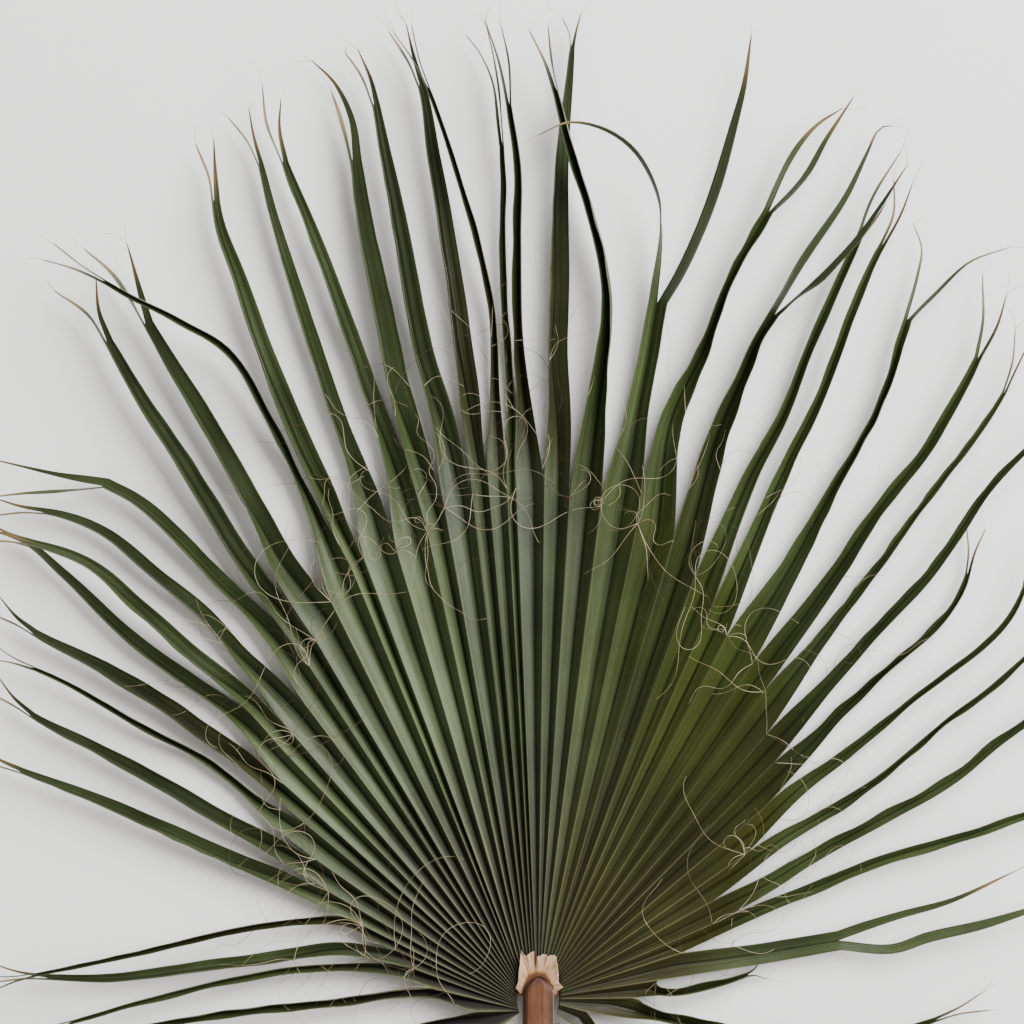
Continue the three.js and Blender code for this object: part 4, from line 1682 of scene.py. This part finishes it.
    def _from_tips(self) -> None:
        """Hair-thin ends of the tips."""
        for spot, heading in self.blade.tips:
            for _ in range(int(self.rng.integers(1, 3))):
                angle = math.atan2(heading[1], heading[0]) + self.rng.normal(0, self.tip_spread)
                self._thread(spot, angle, self.rng.uniform(*self.tip_length), 0.0)

    def build(self) -> bpy.types.Object:
        """Builds the threads.

        Returns:
            The dressed threads.
        """
        self._from_splits()
        self._from_margins()
        self._from_tips()
        made = self.tubes.build("leaf_threads")
        made.data.materials.append(self.finish.make())
        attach(made, "root")
        return made


@dataclass
class Stalk:
    """The cut stalk with its rounded end, the head that carries the pleats and the edge thorns."""

    width: float = 31.0
    height: float = 22.0
    length: float = 210.0
    tongue_start: float = 6.0
    tongue_reach: float = 22.0
    tongue_round: float = 1.5
    tongue_point: float = 0.62
    tongue_drop: float = 2.0
    flare: float = 1.2
    flare_from: float = 60.0
    sides: int = 56
    stations: int = 64
    tongue_stations: int = 14
    least_half: float = 0.5
    side_round: float = 0.8
    waist: float = 0.68
    top_rise: float = 0.32
    top_round: float = 0.7
    belly: float = 0.76
    groove_depth: float = 0.7
    groove_width: float = 0.35
    bow: Range = (0.35, 60.0)
    head_bottom: float = 3.0
    head_top: float = 15.2
    head_turn: int = 80
    head_step: int = 5
    # Edge value of the head and thorns; on the head it paints painted shade, dark.
    head_shade_edge: float = 0.7
    gap: float = 0.3
    thorn_length: float = 7.0
    thorn_width: float = 6.0
    thorn_root: float = 3.0
    thorn_out: float = 0.95
    thorn_hook: float = 3.2
    thorn_height: float = 0.7
    thorn_flat: float = 0.6
    thorn_taper: float = 0.8
    thorn_end: float = 0.97
    thorn_rings: int = 9
    thorn_sides: int = 10
    seed: int = 5
    finish: StalkFinish = StalkFinish()

    def half_width(self, y: float) -> float:
        """Half the width of the stalk.

        Args:
            y: Place along it.

        Returns:
            Half its width there.
        """
        if y <= self.tongue_start:
            return self.width / 2 + self.flare * float(ease(-y, self.flare_from, self.length))
        part = (y - self.tongue_start) / (self.tongue_reach - self.tongue_start)
        return self.width / 2 * max(0.0, 1 - part**self.tongue_round) ** self.tongue_point

    def _ring(self, y: float) -> Array:
        """One cross-section: nearly flat on top, rounded below with a flat strip to rest on.

        Args:
            y: Place along the stalk.

        Returns:
            Points round the cross-section.
        """
        part = max(0.0, (y - self.tongue_start) / (self.tongue_reach - self.tongue_start))
        height = self.height - self.tongue_drop * part**3
        angle = 2 * np.pi * np.arange(self.sides) / self.sides
        c, s = np.cos(angle), np.sin(angle)
        x = self.half_width(y) * np.sign(c) * np.abs(c) ** self.side_round
        top, below = self.top_rise * np.abs(s) ** self.top_round, -self.belly * np.abs(s)
        rise = np.where(s > 0, top, below) * height
        groove = self.groove_depth * np.exp(-((c / self.groove_width) ** 2)) * (s > 0)
        z = np.maximum(0, height * self.waist + rise - groove)
        return np.column_stack([x, np.full(self.sides, y), z])

    def _loft(self, rings: Sequence[Array]) -> tuple[Array, list[list[int]]]:
        """A closed body through rings of equal count.

        Args:
            rings: The rings, in order along the body.

        Returns:
            Its corners and faces.
        """
        count = len(rings[0])
        faces = []
        for r in range(len(rings) - 1):
            for k in range(count):
                a, b = r * count + k, r * count + (k + 1) % count
                faces.append([a, a + count, b + count, b])
        faces.append(list(range(count)))
        faces.append(list(range(len(rings) * count - 1, (len(rings) - 1) * count - 1, -1)))
        return np.vstack(rings), faces

    def _thorn(self, side: int, y: float) -> tuple[Array, list[list[int]]]:
        """A hooked thorn at the edge of the stalk.

        Args:
            side: -1 on the left edge, 1 on the right.
            y: Place along the stalk.

        Returns:
            Its corners and faces.
        """
        rings = []
        angle = 2 * np.pi * np.arange(self.thorn_sides) / self.thorn_sides
        for part in np.linspace(0, self.thorn_end, self.thorn_rings):
            reach = part * (self.thorn_length + self.thorn_root) - self.thorn_root
            wide = self.thorn_width / 2 * (1 - part) ** self.thorn_taper
            x = side * (self.width / 2 + reach * self.thorn_out)
            centre = np.array([x, y + self.thorn_hook * part**2, self.height * self.thorn_height])
            along, upright = np.cos(angle) * wide * side, np.sin(angle) * wide * self.thorn_flat
            rings.append(centre + np.column_stack([np.zeros(len(angle)), along, upright]))
        return self._loft(rings)

    def _head(self, blade: Blade) -> tuple[Array, list[list[int]]]:
        """The head between the pleats and the collar.

        Args:
            blade: The blade that the head carries.

        Returns:
            Its corners and faces.
        """
        angle = np.arange(-self.head_turn, self.head_turn + 1, self.head_step)
        flat = polar(angle, blade.hub_radius(angle) - self.gap)
        heights = (self.head_bottom, self.head_top)
        return self._loft([np.column_stack([flat, np.full(len(flat), z)]) for z in heights])

    def build(self, blade: Blade) -> bpy.types.Object:
        """Builds the stalk.

        Args:
            blade: The blade that the head carries.

        Returns:
            The dressed stalk.
        """
        places = [*np.linspace(-self.length, self.tongue_start, self.stations)]
        rounding = np.sin(np.linspace(0, np.pi / 2, self.tongue_stations)[1:-1])
        places += [*mix(self.tongue_start, self.tongue_reach, rounding)]
        bow = Ripple.drawn(np.random.default_rng(self.seed), *self.bow)
        rings = [self._ring(float(y)) + np.array([float(bow.at(np.array(y))), 0, 0]) for y in places]
        bodies = [self._loft(rings), self._head(blade)]
        bodies += [self._thorn(side, y) for side, y in THORNS]
        spots, faces, edge, thorn = [], [], [], []
        for number, (corners, sides) in enumerate(bodies):
            start = sum(len(s) for s in spots)
            faces += [[start + k for k in face] for face in sides]
            spots.append(corners)
            half = np.array([max(self.least_half, self.half_width(float(y))) for y in corners[:, 1]])
            aside = np.clip(np.abs(corners[:, 0]) / half, 0, 1)
            # Bodies after the stalk take a fixed edge value; on the head this paints it dark as shade.
            edge.append(aside if number == 0 else np.full(len(corners), self.head_shade_edge))
            thorn.append(np.full(len(corners), 1.0 if number > 1 else 0.0))
        made = mesh_object("leaf_stalk", np.vstack(spots), faces)
        corner_value(made, "edge", np.concatenate(edge))
        corner_value(made, "thorn", np.concatenate(thorn))
        made.data.materials.append(self.finish.make())
        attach(made, "root")
        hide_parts("petiole")
        return made


@dataclass
class Collar:
    """The papery collar round the end of the stalk, with a ragged fibrous edge."""

    stalk: Stalk
    sheet: float = 1.0
    base: float = 15.5
    rise: float = 4.5
    columns: int = 150
    rows: int = 16
    end_angle: float = 0.12
    fray_size: float = 0.045
    fray_from: Range = (30.0, 42.0)
    fray_out: Range = (0.55, 1.0)
    rib_wave: Range = (0.35, 0.05)
    rib_pace: float = 0.7
    fibre_height: float = 0.10
    rise_from: Range = (4.0, 44.0)
    rise_pace: float = 1.5
    seed: int = 31
    finish: CollarFinish = CollarFinish()

    def _inner_edge(self, share: Array) -> Array:
        """The edge that follows the end of the stalk.

        Args:
            share: Shares of the way round, from the left.

        Returns:
            A point on the ground at each share.
        """
        stalk, angle = self.stalk, mix(np.pi - self.end_angle, self.end_angle, share)
        reach = stalk.tongue_reach - stalk.tongue_start + stalk.gap
        height = stalk.tongue_start + reach * np.sin(angle)
        half = np.array([stalk.half_width(float(y) - stalk.gap) for y in height]) + stalk.gap
        return np.column_stack([np.sign(np.cos(angle)) * half, height])

    def build(self) -> bpy.types.Object:
        """Builds the collar.

        Returns:
            The dressed collar.
        """
        rng = np.random.default_rng(self.seed)
        share, out = np.linspace(0, 1, self.columns), np.linspace(0, 1, self.rows)
        knots = np.linspace(0, 1, len(COLLAR_EDGE))
        edge = np.stack([np.interp(share, knots, [p[k] for p in COLLAR_EDGE]) for k in (0, 1)], axis=-1)
        inner = self._inner_edge(share)
        fibre = rng.normal(0, 1, self.columns)
        fray = 1 + self.fray_size * fibre * ease(edge[:, 1], *self.fray_from)
        ribs = Ripple.drawn(rng, *self.rib_wave).at(share) + self.fibre_height * fibre
        grid = np.zeros((self.rows, self.columns, 3))
        for r, part in enumerate(out):
            pull = mix(1.0, fray, float(ease(part, *self.fray_out)))
            grid[r, :, :2] = inner + (edge - inner) * column(part * pull)
            lift = self.sheet + self.rise * part**self.rise_pace * ease(edge[:, 1], *self.rise_from)
            grid[r, :, 2] = self.base + lift + ribs * part**self.rib_pace
        sheet = SheetMesh()
        drops = np.broadcast_to(-self.sheet * UP, grid.shape)
        sheet.add(Patch(grid, drops, share, out, out, out, 0.5))
        made = sheet.build("leaf_collar")
        self._name_values(made)
        made.data.materials.append(self.finish.make())
        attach(made, "root")
        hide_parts("hastula")
        return made

    def _name_values(self, made: bpy.types.Object) -> None:
        """Stores the fibre and the way out under their own names.

        Args:
            made: The collar.
        """
        for own, name in (("across", "fibre"), ("reach", "out")):
            values = np.zeros(len(made.data.vertices), np.float32)
            made.data.attributes[own].data.foreach_get("value", values)
            corner_value(made, name, values)


@dataclass
class Studio:
    """Pale floor, one broad soft light from the upper right, a dim surround and the camera.

    The middle and the width of the picture are in millimetres, all other lengths in metres.
    """

    centre: Point = (-26.0, 486.0)
    frame: float = 1024.0
    distance: float = 6.0
    sensor: float = 0.036
    sight: float = 100.0
    light_azimuth: float = 54.0
    light_elevation: float = 37.0
    light_distance: float = 7.0
    light_length: float = 8.2
    light_height: float = 5.8
    light_power: float = 2120.0
    light_colour: Colour = (0.995, 0.99, 1.0)
    surround: float = 0.7
    surround_colour: Colour = (1.0, 0.965, 0.88)
    floor_half: float = 9.0
    floor_drop: float = 0.0002
    finish: FloorFinish = FloorFinish()

    def build(self) -> None:
        """Makes the floor, the lights and the camera."""
        self._floor()
        self._light()
        self._surround()
        self._camera()

    def _floor(self) -> None:
        """Makes the floor just under the leaf."""
        h, z = self.floor_half, -self.floor_drop
        mesh = bpy.data.meshes.new("floor")
        mesh.from_pydata([(-h, -h, z), (h, -h, z), (h, h, z), (-h, h, z)], [], [(0, 1, 2, 3)])
        floor = bpy.data.objects.new("floor", mesh)
        bpy.context.scene.collection.objects.link(floor)
        mesh.materials.append(self.finish.make())

    def _light(self) -> None:
        """Makes the broad light."""
        data = bpy.data.lights.new("soft_light", "AREA")
        data.shape = "RECTANGLE"
        data.size = self.light_length
        data.size_y = self.light_height
        data.energy = self.light_power
        data.color = self.light_colour
        made = bpy.data.objects.new("soft_light", data)
        azimuth, height = math.radians(self.light_azimuth), math.radians(self.light_elevation)
        flat = math.cos(height) * self.light_distance
        made.location = (
            self.centre[0] * MM + math.sin(azimuth) * flat,
            self.centre[1] * MM + math.cos(azimuth) * flat,
            math.sin(height) * self.light_distance,
        )
        made.rotation_euler = (math.pi / 2 - height, 0, math.pi - azimuth)
        bpy.context.scene.collection.objects.link(made)

    def _surround(self) -> None:
        """Makes the dim light from all round."""
        world = bpy.data.worlds.new("surround")
        world.use_nodes = True
        node = world.node_tree.nodes["Background"]
        node.inputs["Color"].default_value = (*self.surround_colour, 1.0)
        node.inputs["Strength"].default_value = self.surround
        bpy.context.scene.world = world

    def _camera(self) -> None:
        """Makes the camera that looks straight down."""
        data = bpy.data.cameras.new("camera")
        data.sensor_width = self.sensor / MM
        data.lens = data.sensor_width * self.distance / (self.frame * MM)
        data.clip_end = self.sight
        made = bpy.data.objects.new("camera", data)
        made.location = (self.centre[0] * MM, self.centre[1] * MM, self.distance)
        bpy.context.scene.collection.objects.link(made)
        bpy.context.scene.camera = made


def report(piece: bpy.types.Object) -> None:
    """Logs the name and the triangle count of a piece."""
    triangles = sum(len(face.vertices) - 2 for face in piece.data.polygons)
    LOG.info("%s: %d triangles", piece.name, triangles)


def main() -> None:
    """Builds the pieces in order."""
    logging.basicConfig(level=logging.INFO, format="%(name)s: %(message)s")
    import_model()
    Studio().build()
    blade = Blade()
    report(blade.build())
    report(Threads(blade).build())
    stalk = Stalk()
    report(stalk.build(blade))
    report(Collar(stalk).build())


if __name__ == "__main__":
    main()
